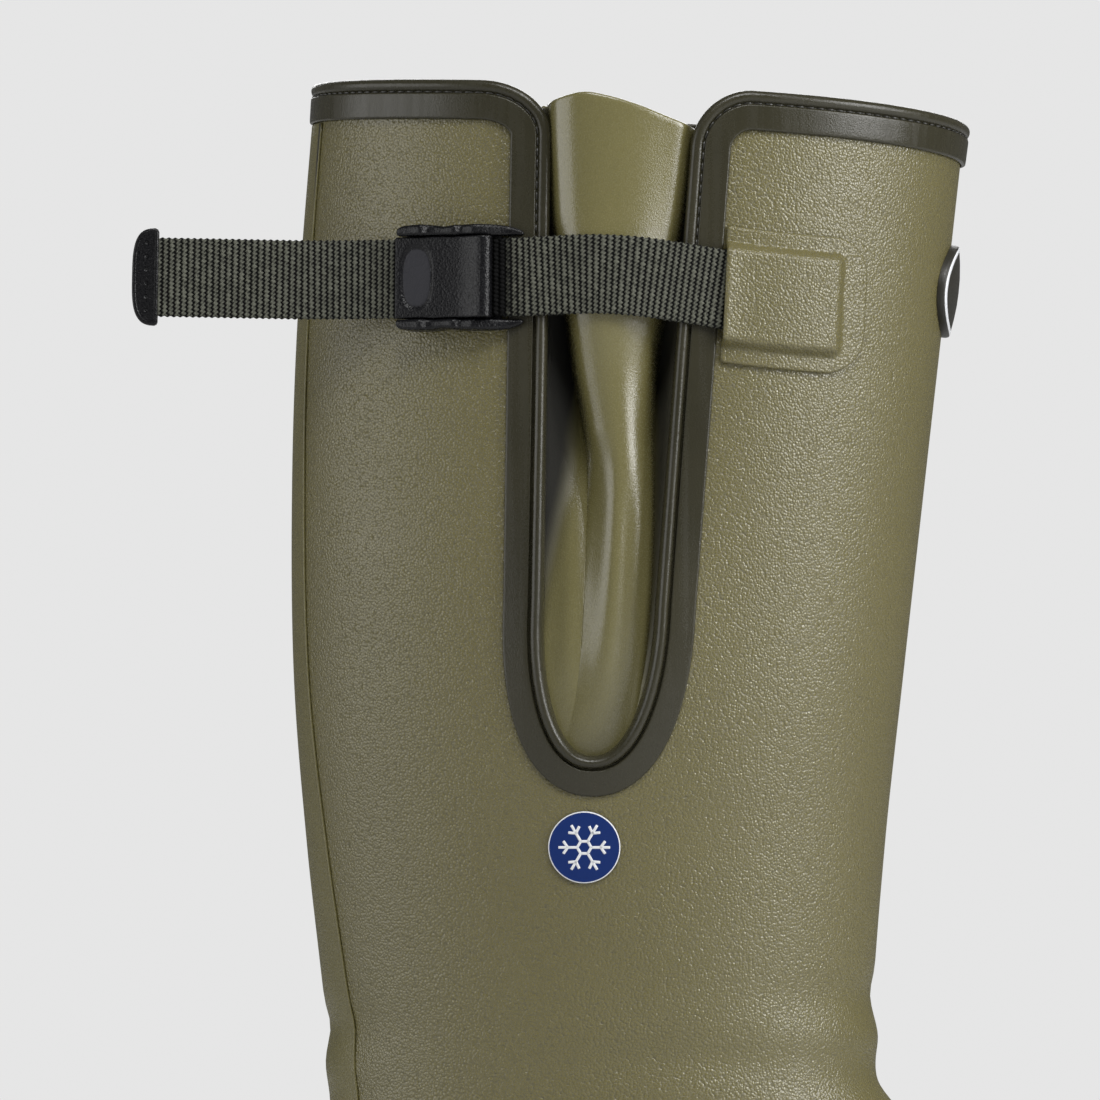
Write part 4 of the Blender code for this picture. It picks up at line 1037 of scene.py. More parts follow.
class Finishes:
    """Every finish of the boot, as a material each."""

    def __init__(self) -> None:
        """Build the shared groups and all materials."""
        groups = Groups()
        self.olive = MouldedFinish("olive grained rubber", (0.140, 0.122, 0.043), (0.130, 0.113, 0.039), 0.23,
                                   rough_spread=0.03, cells=1480.0, grain_depth=0.19, crease_shade_share=0.75,
                                   crease_rough=0.4, specular=0.8).material(groups)
        self.gusset = MouldedFinish("smooth olive rubber", (0.152, 0.136, 0.053), (0.140, 0.125, 0.048), 0.22,
                                    speck_depth=0.02, coat=0.3, specular=0.75,
                                    shade_or_inlay_mark="shade").material(groups)
        self.binding = MouldedFinish("dark binding rubber", (0.036, 0.033, 0.019), (0.027, 0.025, 0.014),
                                     0.27, rough_spread=0.03, speck_depth=0.02, streak=0.07,
                                     specular=0.42).material(groups)
        self.strip = MouldedFinish("seam strip rubber", (0.142, 0.125, 0.044), (0.132, 0.116, 0.040), 0.27,
                                   cells=1480.0, grain_depth=0.11, crease_shade_share=0.3, crease_rough=0.3,
                                   specular=0.7, shade_or_inlay_mark="shade").material(groups)
        self.sole = MouldedFinish("sole rubber", (0.036, 0.033, 0.021), (0.027, 0.025, 0.017), 0.5,
                                  cells=620.0, grain_depth=0.2, crease_shade_share=0.15).material(groups)
        self.plastic = MouldedFinish("black moulded plastic", (0.004, 0.004, 0.0055), (0.003, 0.003, 0.0036),
                                     0.32, cells=1700.0, grain_depth=0.08, crease_shade_share=0.1, specular=0.3,
                                     shade_or_inlay_mark="inlay", mark_tint=13.0).material(groups)
        self.thread = MouldedFinish("dark thread", (0.030, 0.029, 0.022), (0.016, 0.015, 0.012),
                                    0.4).material(groups)
        self.blue = MouldedFinish("blue print", (0.001, 0.020, 0.130), (0.001, 0.017, 0.112), 0.4,
                                  speck_depth=0.006, specular=0.3).material(groups)
        self.white = MouldedFinish("white print", (0.74, 0.75, 0.77), (0.68, 0.69, 0.71), 0.4,
                                   speck_depth=0.006).material(groups)
        self.badge = MouldedFinish("badge rubber", (0.026, 0.025, 0.018), (0.020, 0.019, 0.014),
                                   0.42).material(groups)
        self.webbing = WebbingFinish("strap webbing", (0.150, 0.154, 0.122),
                                     (0.0015, 0.0015, 0.0015)).material()
        self.lining = KnitFinish("neoprene lining", (0.012, 0.012, 0.013), (0.024, 0.024, 0.026)).material()
        self.bed = KnitFinish("foot bed knit", (0.014, 0.014, 0.015), (0.030, 0.030, 0.032),
                              ribs=600.0).material()


@dataclass
class Assembly:
    """Sub-assembly of the boot: it builds pieces on the last and dresses them."""

    last: Last
    finishes: Finishes

    def settle(self, piece: Object, slot: str, finish: Any, *nodes: str) -> None:
        """Dress a piece, tie it to the boot's body and report it.

        Args:
            piece: The piece, whose faces keep their material numbers.
            slot: Name of the record's material slot for the piece; not used.
            finish: One material, or a list of them in the order of those numbers.
            *nodes: Solids that the piece stands for.
        """
        mesh = piece.data
        kinds = np.zeros(len(mesh.polygons), dtype=np.int32)
        mesh.polygons.foreach_get("material_index", kinds)
        mesh.materials.clear()
        for material in finish if isinstance(finish, list) else [finish]:
            mesh.materials.append(material)
        mesh.polygons.foreach_set("material_index", kinds)
        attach(piece, BODY)
        if nodes:
            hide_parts(*nodes)
        mesh.calc_loop_triangles()
        LOG.info("%s: %d triangles", piece.name, len(mesh.loop_triangles))


@dataclass
class Slot:
    """Line of the gusset slot and of the top edge, shared by the upper, the binding and the gusset."""

    last: Last
    bottom_x: float = 29.5
    bottom_z: float = 226.0
    lean: float = 0.046
    half_width: float = 15.8
    bowl: float = 39.0
    bowl_power: float = 2.2
    flare: float = 0.03
    front_corner: tuple[float, float] = (12.5, 12.5)
    back_corner: tuple[float, float] = (17.0, 12.5)
    bowl_steps: int = 36
    side_steps: int = 60
    corner_steps: int = 14
    rim_steps: int = 250
    corner_rounds: int = 8

    def half(self, z: Any) -> Array:
        """Half width of the slot at a height."""
        rise = np.maximum(np.asarray(z, float) - self.bottom_z, 0.0)
        share = np.clip((self.bowl - rise) / self.bowl, 0.0, 1.0)
        round_half = self.half_width * (1 - share ** self.bowl_power) ** (1 / self.bowl_power)
        return np.where(rise >= self.bowl, self.half_width + self.flare * (rise - self.bowl), round_half)

    def middle(self, z: Any) -> Array:
        """X of the slot's middle line."""
        return self.bottom_x + self.lean * (np.asarray(z, float) - self.bottom_z)

    def side_x(self, z: Any, end: End) -> Array:
        """X of one edge of the slot, before its top corner."""
        return self.middle(z) + end.value * self.half(z)

    def rim_angle(self, x: float) -> float:
        """Angle of the top line's outer side at x."""
        row = self.last.rows[-1]
        reach, _ = self.last.quarter(row, x > row.widest_x)
        return math.acos((x - row.widest_x) / reach)

    def edge(self, end: End) -> Array:
        """Points (x, z) of one edge from the slot's bottom to the end of its top corner."""
        reach, drop = self.front_corner if end is End.TOE else self.back_corner
        angle = np.linspace(0.0, math.pi / 2, self.bowl_steps + 1)[1:]
        bowl_z = self.bottom_z + self.bowl * (1 - np.cos(angle) ** (2 / self.bowl_power))
        finish_z = self.last.rows[-1].back_z
        for _ in range(self.corner_rounds):
            turn = self.rim_angle(float(self.side_x(finish_z, end)) + end.value * reach)
            finish_z = float(self.last.ring_point(self.last.top, turn)[2])
        side_z = np.linspace(self.bottom_z + self.bowl, finish_z - drop, self.side_steps + 1)[1:]
        turn = np.linspace(0.0, math.pi / 2, self.corner_steps + 1)[1:]
        corner_z = finish_z - drop * (1 - np.sin(turn))
        z = np.concatenate([bowl_z, side_z, corner_z])
        x = self.side_x(z, end)
        x[-self.corner_steps:] += end.value * reach * (1 - np.cos(turn))
        return np.stack([x, z], axis=-1)

    def path(self) -> tuple[Array, Array, Array]:
        """Closed path along the slot's edges and the top line.

        Returns:
            Places, outward directions and headings.
        """
        front, back = self.edge(End.TOE), self.edge(End.HEEL)
        start, stop = self.rim_angle(front[-1, 0]), self.rim_angle(back[-1, 0]) - 2 * math.pi
        turns = np.linspace(start, stop, self.rim_steps)
        low = np.vstack([[(self.bottom_x, self.bottom_z)], front[:-1]])
        high = back[-2::-1]
        last = self.last
        places = np.vstack([last.side_point(low[:, 0], low[:, 1]), last.ring_point(last.top, turns),
                            last.side_point(high[:, 0], high[:, 1])])
        normals = np.vstack([last.side_normal(low[:, 0], low[:, 1]), last.ring_normal(last.top, turns),
                             last.side_normal(high[:, 0], high[:, 1])])
        heading = unit(np.roll(places, -1, axis=0) - np.roll(places, 1, axis=0))
        return places, normals, heading

    def cutter(self, deep: float, high: float) -> Object:
        """Plug with the slot's outline, square to the upper's own surface."""
        front, back = self.edge(End.TOE), self.edge(End.HEEL)
        over = self.last.rows[-1].back_z + high
        lid = [(front[-1, 0], over), (back[-1, 0], over)]
        outline = np.vstack([[(self.bottom_x, self.bottom_z)], front, lid, back[::-1]])
        rings = [self.last.over_side(outline[:, 0], outline[:, 1], height) for height in (-deep, high)]
        return loft("slot_plug", np.stack(rings))


@dataclass
class Foot(Assembly):
    """Outsole with lugs, and the foot bed that lies on it."""

    steps: tuple[tuple[float, float], ...] = ((1.2, 0.0), (2.6, 0.1), (3.5, 1.0), (3.5, 4.3), (2.2, 4.8),
                                              (2.2, 6.3), (3.7, 6.8), (3.7, 8.0), (3.3, 9.2))
    edge_grow: float = 3.2
    foot_turn: float = 1.2
    step_clear: float = 0.4
    turn_clear: float = 0.2
    ring_steps: int = 180
    heel_lugs: tuple[tuple[float, float], ...] = ((-38, -19), (-11, 11), (19, 38))
    forefoot_start: int = 114
    forefoot_end: int = 232
    forefoot_pitch: int = 17
    forefoot_lug: float = 10.5
    lug_blocks: int = 3
    lug_inset: float = 2.5
    lug_gap: float = 5.0
    lug_draft: float = 0.8
    lug_sink: float = 1.0
    lug_bevel: float = 0.7
    bed_shrink: float = 6.4
    bed_seat: float = 0.5
    bed_thick: float = 4.0
    bed_round: float = 2.0

    def straight(self, column: str, x: Any) -> Array:
        """Read one column of the sole's table along straight lines."""
        rows = self.last.sole
        return np.interp(x, [row.x for row in rows], [getattr(row, column) for row in rows])

    def root(self, x: Any) -> Array:
        """Height of the sole's underside between the lugs."""
        return self.straight("root", x)

    def ring(self, grow: float, height: Callable[[Array], Array]) -> Array:
        """Ring of the foot's outline, moved out by a distance."""
        angle = np.linspace(0.0, 2 * math.pi, self.ring_steps, endpoint=False)
        x, y, _ = self.last.section_ring(self.last.rows[0], angle, grow)
        return np.stack([x, y, height(x)], axis=-1)

    def stack(self, name: str, rings: list[Array]) -> Object:
        """Closed solid through rings, capped by strips from the outer to the inner side."""
        size = self.ring_steps
        faces = grid_faces(len(rings), size, wrap=True)
        for first in (0, (len(rings) - 1) * size):
            for k in range(size // 2):
                corners = [k, k + 1, size - k - 1, (size - k) % size]
                faces.append([first + number for number in dict.fromkeys(corners)])
        return make_mesh(name, np.vstack(rings), faces, crisp_deg=32.0)

    def build_lugs(self) -> Object:
        """Build all lugs as bevelled blocks, a few in each row."""
        forefoot = range(self.forefoot_start, self.forefoot_end, self.forefoot_pitch)
        rows = list(self.heel_lugs) + [(start, start + self.forefoot_lug) for start in forefoot]
        shape = bmesh.new()
        for start, end in rows:
            for block in range(self.lug_blocks):
                corners = [shape.verts.new(point * MM) for point in self.lug_corners(start, end, block)]
                bmesh.ops.convex_hull(shape, input=corners)
        bmesh.ops.dissolve_limit(shape, angle_limit=math.radians(3), verts=shape.verts, edges=shape.edges)
        bmesh.ops.bevel(shape, geom=list(shape.edges), offset=self.lug_bevel * MM, segments=2, profile=0.5,
                        affect="EDGES")
        bmesh.ops.recalc_face_normals(shape, faces=shape.faces)
        return link_mesh("lugs", shape)

    def lug_corners(self, start: float, end: float, block: int) -> list[Vector]:
        """Corners of one block of a lug row.

        Args:
            start: Heel end of the row.
            end: Toe end of the row.
            block: Number of the block, from the outer side.

        Returns:
            Four corners on the ground and four in the sole.
        """
        corners = []
        row = self.last.rows[0]
        grow = self.edge_grow - self.lug_inset
        for column, draft, lift in (("ground", self.lug_draft, 0.0), ("root", 0.0, self.lug_sink)):
            for x in (start + draft, end - draft):
                spread = self.last.side_spread(row, x, grow)
                outer, inner = (float(self.last.section_y(row, x, side * spread, grow)) for side in (1, -1))
                width = (inner - outer - (self.lug_blocks - 1) * self.lug_gap) / self.lug_blocks
                low = outer + block * (width + self.lug_gap)
                z = float(self.straight(column, x)) + lift
                corners += [Vector((x, low + draft, z)), Vector((x, low + width - draft, z))]
        return corners

    def build(self) -> None:
        """Build and dress the sole and the foot bed."""
        top, clear = self.last.sole_top, self.step_clear
        rings = [self.ring(grow, lambda x, down=down: np.maximum(top(x) - down, self.root(x) + clear))
                 for grow, down in soften(np.array(self.steps), 2, closed=False)]
        rings.append(self.ring(self.edge_grow, lambda x: self.root(x) + self.turn_clear))
        rings.append(self.ring(self.edge_grow - self.foot_turn, self.root))
        sole = self.stack("outsole_moulded", rings)
        join_by(sole, self.build_lugs(), "UNION", crisp_deg=32.0)
        self.settle(sole, "sole_rubber", self.finishes.sole, "outsole")
        edge = ((0.0, 0.0), (0.0, self.bed_thick), (-self.bed_round, self.bed_thick))
        rings = [self.ring(grow - self.bed_shrink, lambda x, up=up: top(x) + self.bed_seat + up)
                 for grow, up in soften(np.array(edge), 2, closed=False)]
        self.settle(self.stack("foot_bed_knit", rings), "foot_bed", self.finishes.bed, "insole")


@dataclass
class Upper(Assembly):
    """Hollow rubber wall with its lining, and the strip over the back seam."""

    slot: Slot
    around: int = 200
    foot_rows: int = 36
    instep_rows: int = 56
    shaft_rows: int = 84
    foot_level: float = 3.0
    ankle_level: float = 8.0
    plug_deep: float = 16.0
    plug_high: float = 10.0
    strip_rows: tuple[StripRow, ...] = (StripRow(4, 22.0), StripRow(8.8, 20.0), StripRow(11, 16.0),
                                        StripRow(13.83, 13.0))
    strip_up: int = 120
    strip_across: int = 41
    strip_thick: float = 0.6
    # Width, reach, faint share and heights of the painted shade along the strip's outer edge, where the seam
    # lies open.
    seam_width: float = 0.9
    seam_reach: float = 1.5
    seam_faint: float = 0.1
    seam_low_z: float = 366.0
    seam_run: float = 14.0

    def build(self) -> None:
        """Build and dress the wall and the strip."""
        last = self.last
        levels = np.concatenate([np.linspace(0.0, self.foot_level, self.foot_rows),
                                 np.linspace(self.foot_level, self.ankle_level, self.instep_rows)[1:],
                                 np.linspace(self.ankle_level, last.top, self.shaft_rows)[1:]])
        angle = np.linspace(0.0, 2 * math.pi, self.around, endpoint=False)
        outside = last.ring_point(levels[:, None], angle[None, :])
        outside[0, :, 2] = last.sole_top(outside[0, :, 0]) + GAP
        normals = last.ring_normal(levels[:, None], angle[None, :])
        outside = outside + normals * last.relief(outside)[..., None]
        inside = outside - normals * WALL
        rows, columns = outside.shape[:2]
        count = rows * columns
        faces = grid_faces(rows, columns, wrap=True)
        inner_faces = grid_faces(rows, columns, wrap=True, start=count)
        rims = []
        for first in (0, (rows - 1) * columns):
            ring = [first + k for k in range(columns)]
            rims += [[ring[k], ring[k - 1], ring[k - 1] + count, ring[k] + count] for k in range(columns)]
        wall = make_mesh("upper_wall", np.vstack([outside.reshape(-1, 3), inside.reshape(-1, 3)]),
                         faces + inner_faces + rims, crisp_deg=60.0)
        kinds = [0] * len(faces) + [1] * len(inner_faces) + [0] * len(rims)
        wall.data.materials.append(self.finishes.olive)
        wall.data.materials.append(self.finishes.lining)
        wall.data.polygons.foreach_set("material_index", kinds)
        join_by(wall, self.slot.cutter(self.plug_deep, self.plug_high), "DIFFERENCE", crisp_deg=60.0)
        self.settle(wall, "olive_rubber", [self.finishes.olive, self.finishes.lining], "upper")
        self.build_strip()

    def build_strip(self) -> None:
        """Build and dress the strip over the back seam."""
        last = self.last
        levels = np.linspace(self.strip_rows[0].level, self.strip_rows[-1].level, self.strip_up)
        half = read(self.strip_rows, levels).half
        section = read(last.rows, levels[:, None])
        y = half[:, None] * np.sin(np.linspace(-math.pi / 2, math.pi / 2, self.strip_across))[None, :]
        x = last.end_x(section, y, End.HEEL)
        z = last.section_z(section, x, np.zeros(y.shape))
        middle = last.over_end(y, z, End.HEEL, self.strip_thick / 2)
        middle[..., 0] -= last.relief(middle)
        strip = sheet("back_seam_strip", middle, self.strip_thick, np.array((-1.0, 0.0, 0.0)))
        # Painted shade of the open seam: a dark line along the strip's outer edge, full near the top and
        # faint lower down.
        beside = smooth_step(self.seam_reach - (y + half[:, None]) / self.seam_width)
        high_up = smooth_step((z - self.seam_low_z) / self.seam_run)
        tag(strip, "shade", beside * (self.seam_faint + (1 - self.seam_faint) * high_up))
        self.settle(strip, "olive_rubber", self.finishes.strip, "back_strip")


@dataclass
class Binding(Assembly):
    """Dark binding along the top line and the slot, with its row of stitches."""

    slot: Slot
    profile: tuple[tuple[float, float, float], ...] = (
        (-0.4, 0.1, 0.1), (8.4, 0.1, 0.1), (8.4, 0.45, 0.7), (8.15, 0.8, 1.2), (7.5, 0.95, 1.3),
        (5.0, 1.5, 1.35), (2.4, 2.0, 1.4), (1.9, 1.95, 1.35), (1.68, 0.9, 0.55), (1.44, 0.9, 0.55),
        (1.2, 1.9, 0.9), (0.75, 2.6, 1.3), (0.05, 2.95, 1.5), (-0.7, 2.8, 1.45), (-1.35, 2.1, 1.0),
        (-1.7, 1.0, 0.4), (-1.75, -1.0, -1.0), (-1.6, -4.2, -4.2), (-0.4, -4.2, -4.2))
    rim_low_z: float = 338.0
    rim_blend: float = 12.0
    softening: int = 2
    stitch_inward: float = 1.56
    stitch_height: float = 0.95
    stitch_pitch: float = 2.75
    stitch_length: float = 2.1
    stitch_radius: float = 0.28
    stitch_low_z: float = 340.0
    stitch_dip: float = 0.25
    stitch_end: float = 0.04
    stitch_sides: int = 6
    stitch_shares: tuple[float, ...] = (-1.0, -0.8, -0.4, 0.0, 0.4, 0.8, 1.0)

    def build(self) -> None:
        """Build and dress the binding and its stitches."""
        places, normals, heading = self.slot.path()
        inward = unit(np.cross(heading, normals))
        profile = soften(np.array(self.profile), self.softening, closed=True)
        near_rim = smooth_step((places[:, 2] - self.rim_low_z) / self.rim_blend)[:, None]
        height = profile[None, :, 1] * (1 - near_rim) + profile[None, :, 2] * near_rim
        sideways = inward[:, None] * profile[None, :, :1]
        rings = places[:, None] + sideways + normals[:, None] * height[..., None]
        binding = loft("edge_binding_rolled", rings, path_closed=True, crisp_deg=70.0)
        self.settle(binding, "binding_rubber", self.finishes.binding, "edge_binding")
        self.build_stitches(places + inward * self.stitch_inward + normals * self.stitch_height, normals)

    def build_stitches(self, line: Array, normals: Array) -> None:
        """Build and dress the stitches as one mesh of short threads that dip at both ends."""
        run = np.concatenate([[0.0], np.cumsum(np.linalg.norm(np.diff(line, axis=0), axis=1))])
        share = np.array(self.stitch_shares)
        sides, size = self.stitch_sides, self.stitch_sides * len(share)
        girth = self.stitch_radius * np.sqrt(np.maximum(1 - np.abs(share) ** 3, self.stitch_end))
        dip = -self.stitch_dip * np.square(share)
        turn = np.linspace(0.0, 2 * math.pi, sides, endpoint=False)
        points, faces = [], []
        for start in np.arange(0.0, run[-1], self.stitch_pitch):
            spots = start + share * self.stitch_length / 2
            middle = np.stack([np.interp(spots, run, line[:, k]) for k in range(3)], axis=-1)
            if middle[len(share) // 2, 2] < self.stitch_low_z:
                continue
            out = unit(np.stack([np.interp(spots, run, normals[:, k]) for k in range(3)], axis=-1))
            along = unit(np.gradient(middle, axis=0))
            across = unit(np.cross(along, out))
            rings = (middle + out * dip[:, None])[:, None] + girth[:, None, None] * (
                np.cos(turn)[None, :, None] * across[:, None] + np.sin(turn)[None, :, None] * out[:, None])
            first = size * len(points)
            faces += grid_faces(len(share), sides, wrap=True, start=first)
            faces += [list(range(first, first + sides)), list(range(first + size - sides, first + size))]
            points.append(rings.reshape(-1, 3))
        stitches = make_mesh("rim_stitches", np.vstack(points), faces)
        self.settle(stitches, "binding_rubber", self.finishes.thread)


@dataclass
class Gusset(Assembly):
    """Pleated membrane that closes the slot from inside."""

    slot: Slot
    rows: tuple[Fold, ...] = GUSSET_ROWS
    top_edge: tuple[EdgeRow, ...] = GUSSET_TOP
    thick: float = 1.4
    lap: float = 6.0
    seat_gap: float = 0.45
    edge_in: float = 0.5
    lobe_x: float = -8.5
    lobe_reach: float = 4.5
    fold_power: float = 16.0
    wall_weight: float = 0.4
    tilt: float = 0.2
    groove_x: float = 5.7
    groove_reach: float = 1.9
    groove_depth: float = 0.5
    groove_z: tuple[float, float] = (240.0, 300.0)
    groove_run: float = 16.0
    # Blur, heights and weights of the painted shade in the gaps beside the fold.
    dark_blur: tuple[float, float] = (8.0, 0.6)
    dark_blur_z: tuple[float, float] = (308.0, 325.0)
    dark_low_z: tuple[float, float] = (232.0, 250.0)
    dark_weights: tuple[float, float] = (1.0, 0.86)
    dark_front_blur: float = 0.6
    across_steps: int = 150
    up_steps: int = 170
    trial_steps: int = 901

    def depth(self, fold: Fold, across: Array, edge: Array) -> Array:
        """Height of the membrane over the upper's outside.

        Args:
            fold: The pleat at each height.
            across: Distances from the slot's middle.
            edge: Half width of the slot, where the membrane lies against the wall again.

        Returns:
            The height at each place.
        """
        seat = WALL + self.thick / 2 + self.seat_gap
        off = np.abs(across - fold.ridge_x)
        lobe = fold.lobe * bell((across - self.lobe_x) / self.lobe_reach)
        way = np.sign(across - fold.ridge_x)
        share = np.minimum(off / fold.half, 1.0)
        drop = fold.out + fold.valley
        crisp = np.clip(np.where(way > 0, fold.front_crisp, fold.back_crisp), 0.0, 1.0)
        folded = fold.crown * share ** 2 + (drop - fold.crown) * share ** self.fold_power
        soft = drop * (0.5 - 0.5 * np.cos(math.pi * share))
        lean = self.tilt * fold.front_crisp * (across - fold.ridge_x)
        start, stop = self.groove_z
        rising, falling = (fold.z - start) / self.groove_run, (stop - fold.z) / self.groove_run
        window = smooth_step(rising) * smooth_step(falling)
        groove = self.groove_depth * window * bell((across - self.groove_x) / self.groove_reach)
        ridge = fold.out - crisp * folded - (1 - crisp) * soft + lobe - lean * (1 - share ** 4) - groove
        run = np.maximum(edge - way * fold.ridge_x - fold.half, 0.5)
        ease = smooth_step((off - fold.half) / run)
        side = -fold.valley + (fold.valley - seat) * ease + lobe * (1 - ease)
        return np.where(off < fold.half, ridge, side)

    def build(self) -> None:
        """Build and dress the membrane."""
        rise = np.linspace(0.0, 1.0, self.up_steps)[:, None]
        across = self.spread_out(rise)
        z, height = self.surface(rise, across)
        middle = self.last.over_side(self.slot.middle(z) + across, z, height)
        membrane = sheet("gusset_membrane", middle, self.thick, OUTWARD)
        # Painted shade in the gaps beside the fold, kept on the mesh for the material.
        tag(membrane, "shade", self.gloom(read(self.rows, z), across))
        self.settle(membrane, "smooth_rubber", self.finishes.gusset, "gusset")

    def gloom(self, fold: Fold, across: Array) -> Array:
        """Share of painted shade in the two gaps beside the fold, which the slot's edges keep the light from.
        """
        low, high = self.dark_blur_z
        high_up = smooth_step((fold.z - low) / (high - low))
        blur = self.dark_blur[0] + (self.dark_blur[1] - self.dark_blur[0]) * high_up
        start, stop = self.dark_low_z
        rising = smooth_step((fold.z - start) / (stop - start))
        back = self.dark_weights[0] * smooth_step(0.5 + (fold.dark_back - across) / blur)
        front_blur = self.dark_front_blur * blur
        front = self.dark_weights[1] * smooth_step(0.5 + (across - fold.dark_front) / front_blur)
        return rising * np.maximum(back, front)

    def surface(self, rise: Array, across: Array) -> tuple[Array, Array]:
        """Heights over the floor and over the upper's outside at shares of the way up and places across."""
        low = self.rows[0].z
        z = low + rise * (read(self.top_edge, across).z - low)
        return z, self.depth(read(self.rows, z), across, self.slot.half(z) - self.edge_in)

    def spread_out(self, rise: Array) -> Array:
        """Places across the membrane, closer together where it is steep.

        Args:
            rise: Shares of the way up, one for each row.

        Returns:
            Distances from the slot's middle, rows by places.
        """
        level = self.rows[0].z + rise * (self.rows[-1].z - self.rows[0].z)
        fine = np.linspace(-1.0, 1.0, self.trial_steps)[None, :] * (self.slot.half(level) + self.lap)
        _, height = self.surface(rise, fine)
        step = np.hypot(np.diff(fine, axis=1), self.wall_weight * np.diff(height, axis=1))
        run = np.hstack([np.zeros(rise.shape), np.cumsum(step, axis=1)])
        share = np.linspace(0.0, 1.0, self.across_steps)
        return np.stack([np.interp(share * length[-1], length, row) for length, row in zip(run, fine)])


@dataclass
class Fastening(Assembly):
    """Strap with its patch, lever buckle and end clip."""

    strap_width: float = 20.0
    strap_thick: float = 1.4
    rows: tuple[StrapRow, ...] = STRAP_ROWS
    row_steps: int = 26
    row_start: float = 14.0
    free_turn: float = 26.0
    free_steps: int = 6
    free_end_x: float = -82.0
    free_end_z: float = 348.4
    column_pitch: float = 1.6
    slub_pitch: float = 1.06
    column_steps: int = 7
    slub_steps: int = 5
    slub_height: float = 0.6
    slub_lean: float = 0.35
    column_waver: float = 0.17
    column_gap: float = 0.1
    column_slope: float = 0.5
    slub_shares: tuple[float, float, float] = (0.3, 0.42, 0.28)
    back_relief: float = 0.5
    back_steps: int = 12
    selvage_in: float = 0.1
    selvage_wave: float = 0.16
    # Painted shadow on the strap next to the lever's roll.
    lever_shade: float = 0.9
    lever_shade_x: float = 0.6
    lever_shade_run: float = 3.6
    patch_start: float = 62.8
    patch_end: float = 97.4
    patch_half: float = 16.6
    patch_corner: float = 9.0
    patch_drop: float = 1.0
    patch_thick: float = 1.2
    patch_lean: float = 0.05
    patch_seat: float = 0.05
    patch_along: int = 60
    patch_round: int = 18
    patch_across: int = 81
    pocket_half: float = 10.6
    pocket_end: float = 89.3
    pocket_slope: float = 2.8
    pocket_clear: float = 0.6
    buckle_x: float = -2.1
    buckle_z: float = 347.6
    buckle_half: float = 16.0
    base_end: float = 9.6
    base_thick: float = 1.2
    base_back: float = 0.6
    base_lap: float = 1.0
    base_sink: float = 0.1
    base_corner: float = 0.3
    base_steps: int = 40
    rail_corner: float = 0.8
    rail_steps: int = 130
    rail_inner: float = 10.5
    rail_start: float = -16.8
    rail_end: float = 15.4
    rail_sides: tuple[BarRow, ...] = (
        BarRow(-16.8, 12.3), BarRow(-15.0, 13.0), BarRow(-10.0, 13.3), BarRow(-6.5, 13.1), BarRow(-4.2, 12.8),
        BarRow(-1.0, 13.1), BarRow(5.0, 13.3), BarRow(9.0, 13.2), BarRow(12.0, 12.8), BarRow(14.0, 12.2),
        BarRow(15.4, 11.6))
    rail_rows: tuple[BarRow, ...] = (
        BarRow(-16.8, 6.2), BarRow(-12.5, 6.9), BarRow(-9.9, 7.4), BarRow(-8.2, 6.0), BarRow(-5.0, 6.2),
        BarRow(-1.2, 7.0), BarRow(0.2, 5.9), BarRow(2.0, 6.2), BarRow(3.6, 6.6), BarRow(5.0, 6.1),
        BarRow(8.0, 4.3), BarRow(11.0, 2.5), BarRow(13.0, 1.9), BarRow(15.4, 1.7))
    lever_half: float = 10.25
    lever_corner: float = 0.45
    lever_steps: int = 120
    lever_across: int = 90
    lever_start: float = -17.2
    roll_x: float = 6.1
    roll: float = 2.3
    roll_share: float = 0.97
    roll_steps: int = 16
    lever_rows: tuple[BarRow, ...] = (
        BarRow(-17.2, 2.0), BarRow(-8.0, 2.4), BarRow(0.0, 2.8), BarRow(3.0, 3.5), BarRow(5.0, 4.4),
        BarRow(6.1, 4.6))
    oval_x: float = -11.4
    oval_half_x: float = 4.0
    oval_half_y: float = 7.8
    oval_power: float = 2.5
    oval_groove: float = 0.3
    oval_sink: float = 0.4
    oval_edge: float = 0.07
    oval_pale: float = 0.55
    oval_inner: float = 0.95
    oval_over: float = 1.0
    tip_length: float = 6.6
    tip_width: float = 24.5
    tip_thick: float = 3.6
    tip_power: float = 3.3
    tip_pocket: float = 2.4
    tip_bevel: float = 0.5
    tip_rim: float = 0.3
    tip_sink: float = 0.2
    tip_mouth: tuple[tuple[float, float], ...] = ((0.0, 0.9), (0.25, 0.3), (0.9, 0.0))
    tip_steps: int = 41
    tip_flat: float = 0.05
    dimple_pitch: float = 3.4
    dimple_count: int = 6
    dimple_radius: float = 0.75
    dimple_x: float = 3.0
    dimple_over: float = 0.15

    def strap_base(self) -> float:
        """Height of the strap's inner face over the shaft inside the buckle."""
        return GAP + self.base_thick + GAP

    def axes(self) -> tuple[Array, Array, Array, Array]:
        """Origin of the buckle, and its directions along the strap to the front, up across it and out."""
        out = self.last.side_normal(self.buckle_x, self.buckle_z)
        along = unit(np.cross(UP, out))
        return self.last.side_point(self.buckle_x, self.buckle_z), along, unit(np.cross(out, along)), out

    def place(self, points: Array) -> Array:
        """Map points from the buckle's own frame to the boot."""
        origin, along, across, out = self.axes()
        return origin + points[..., :1] * along + points[..., 1:2] * across + points[..., 2:] * out

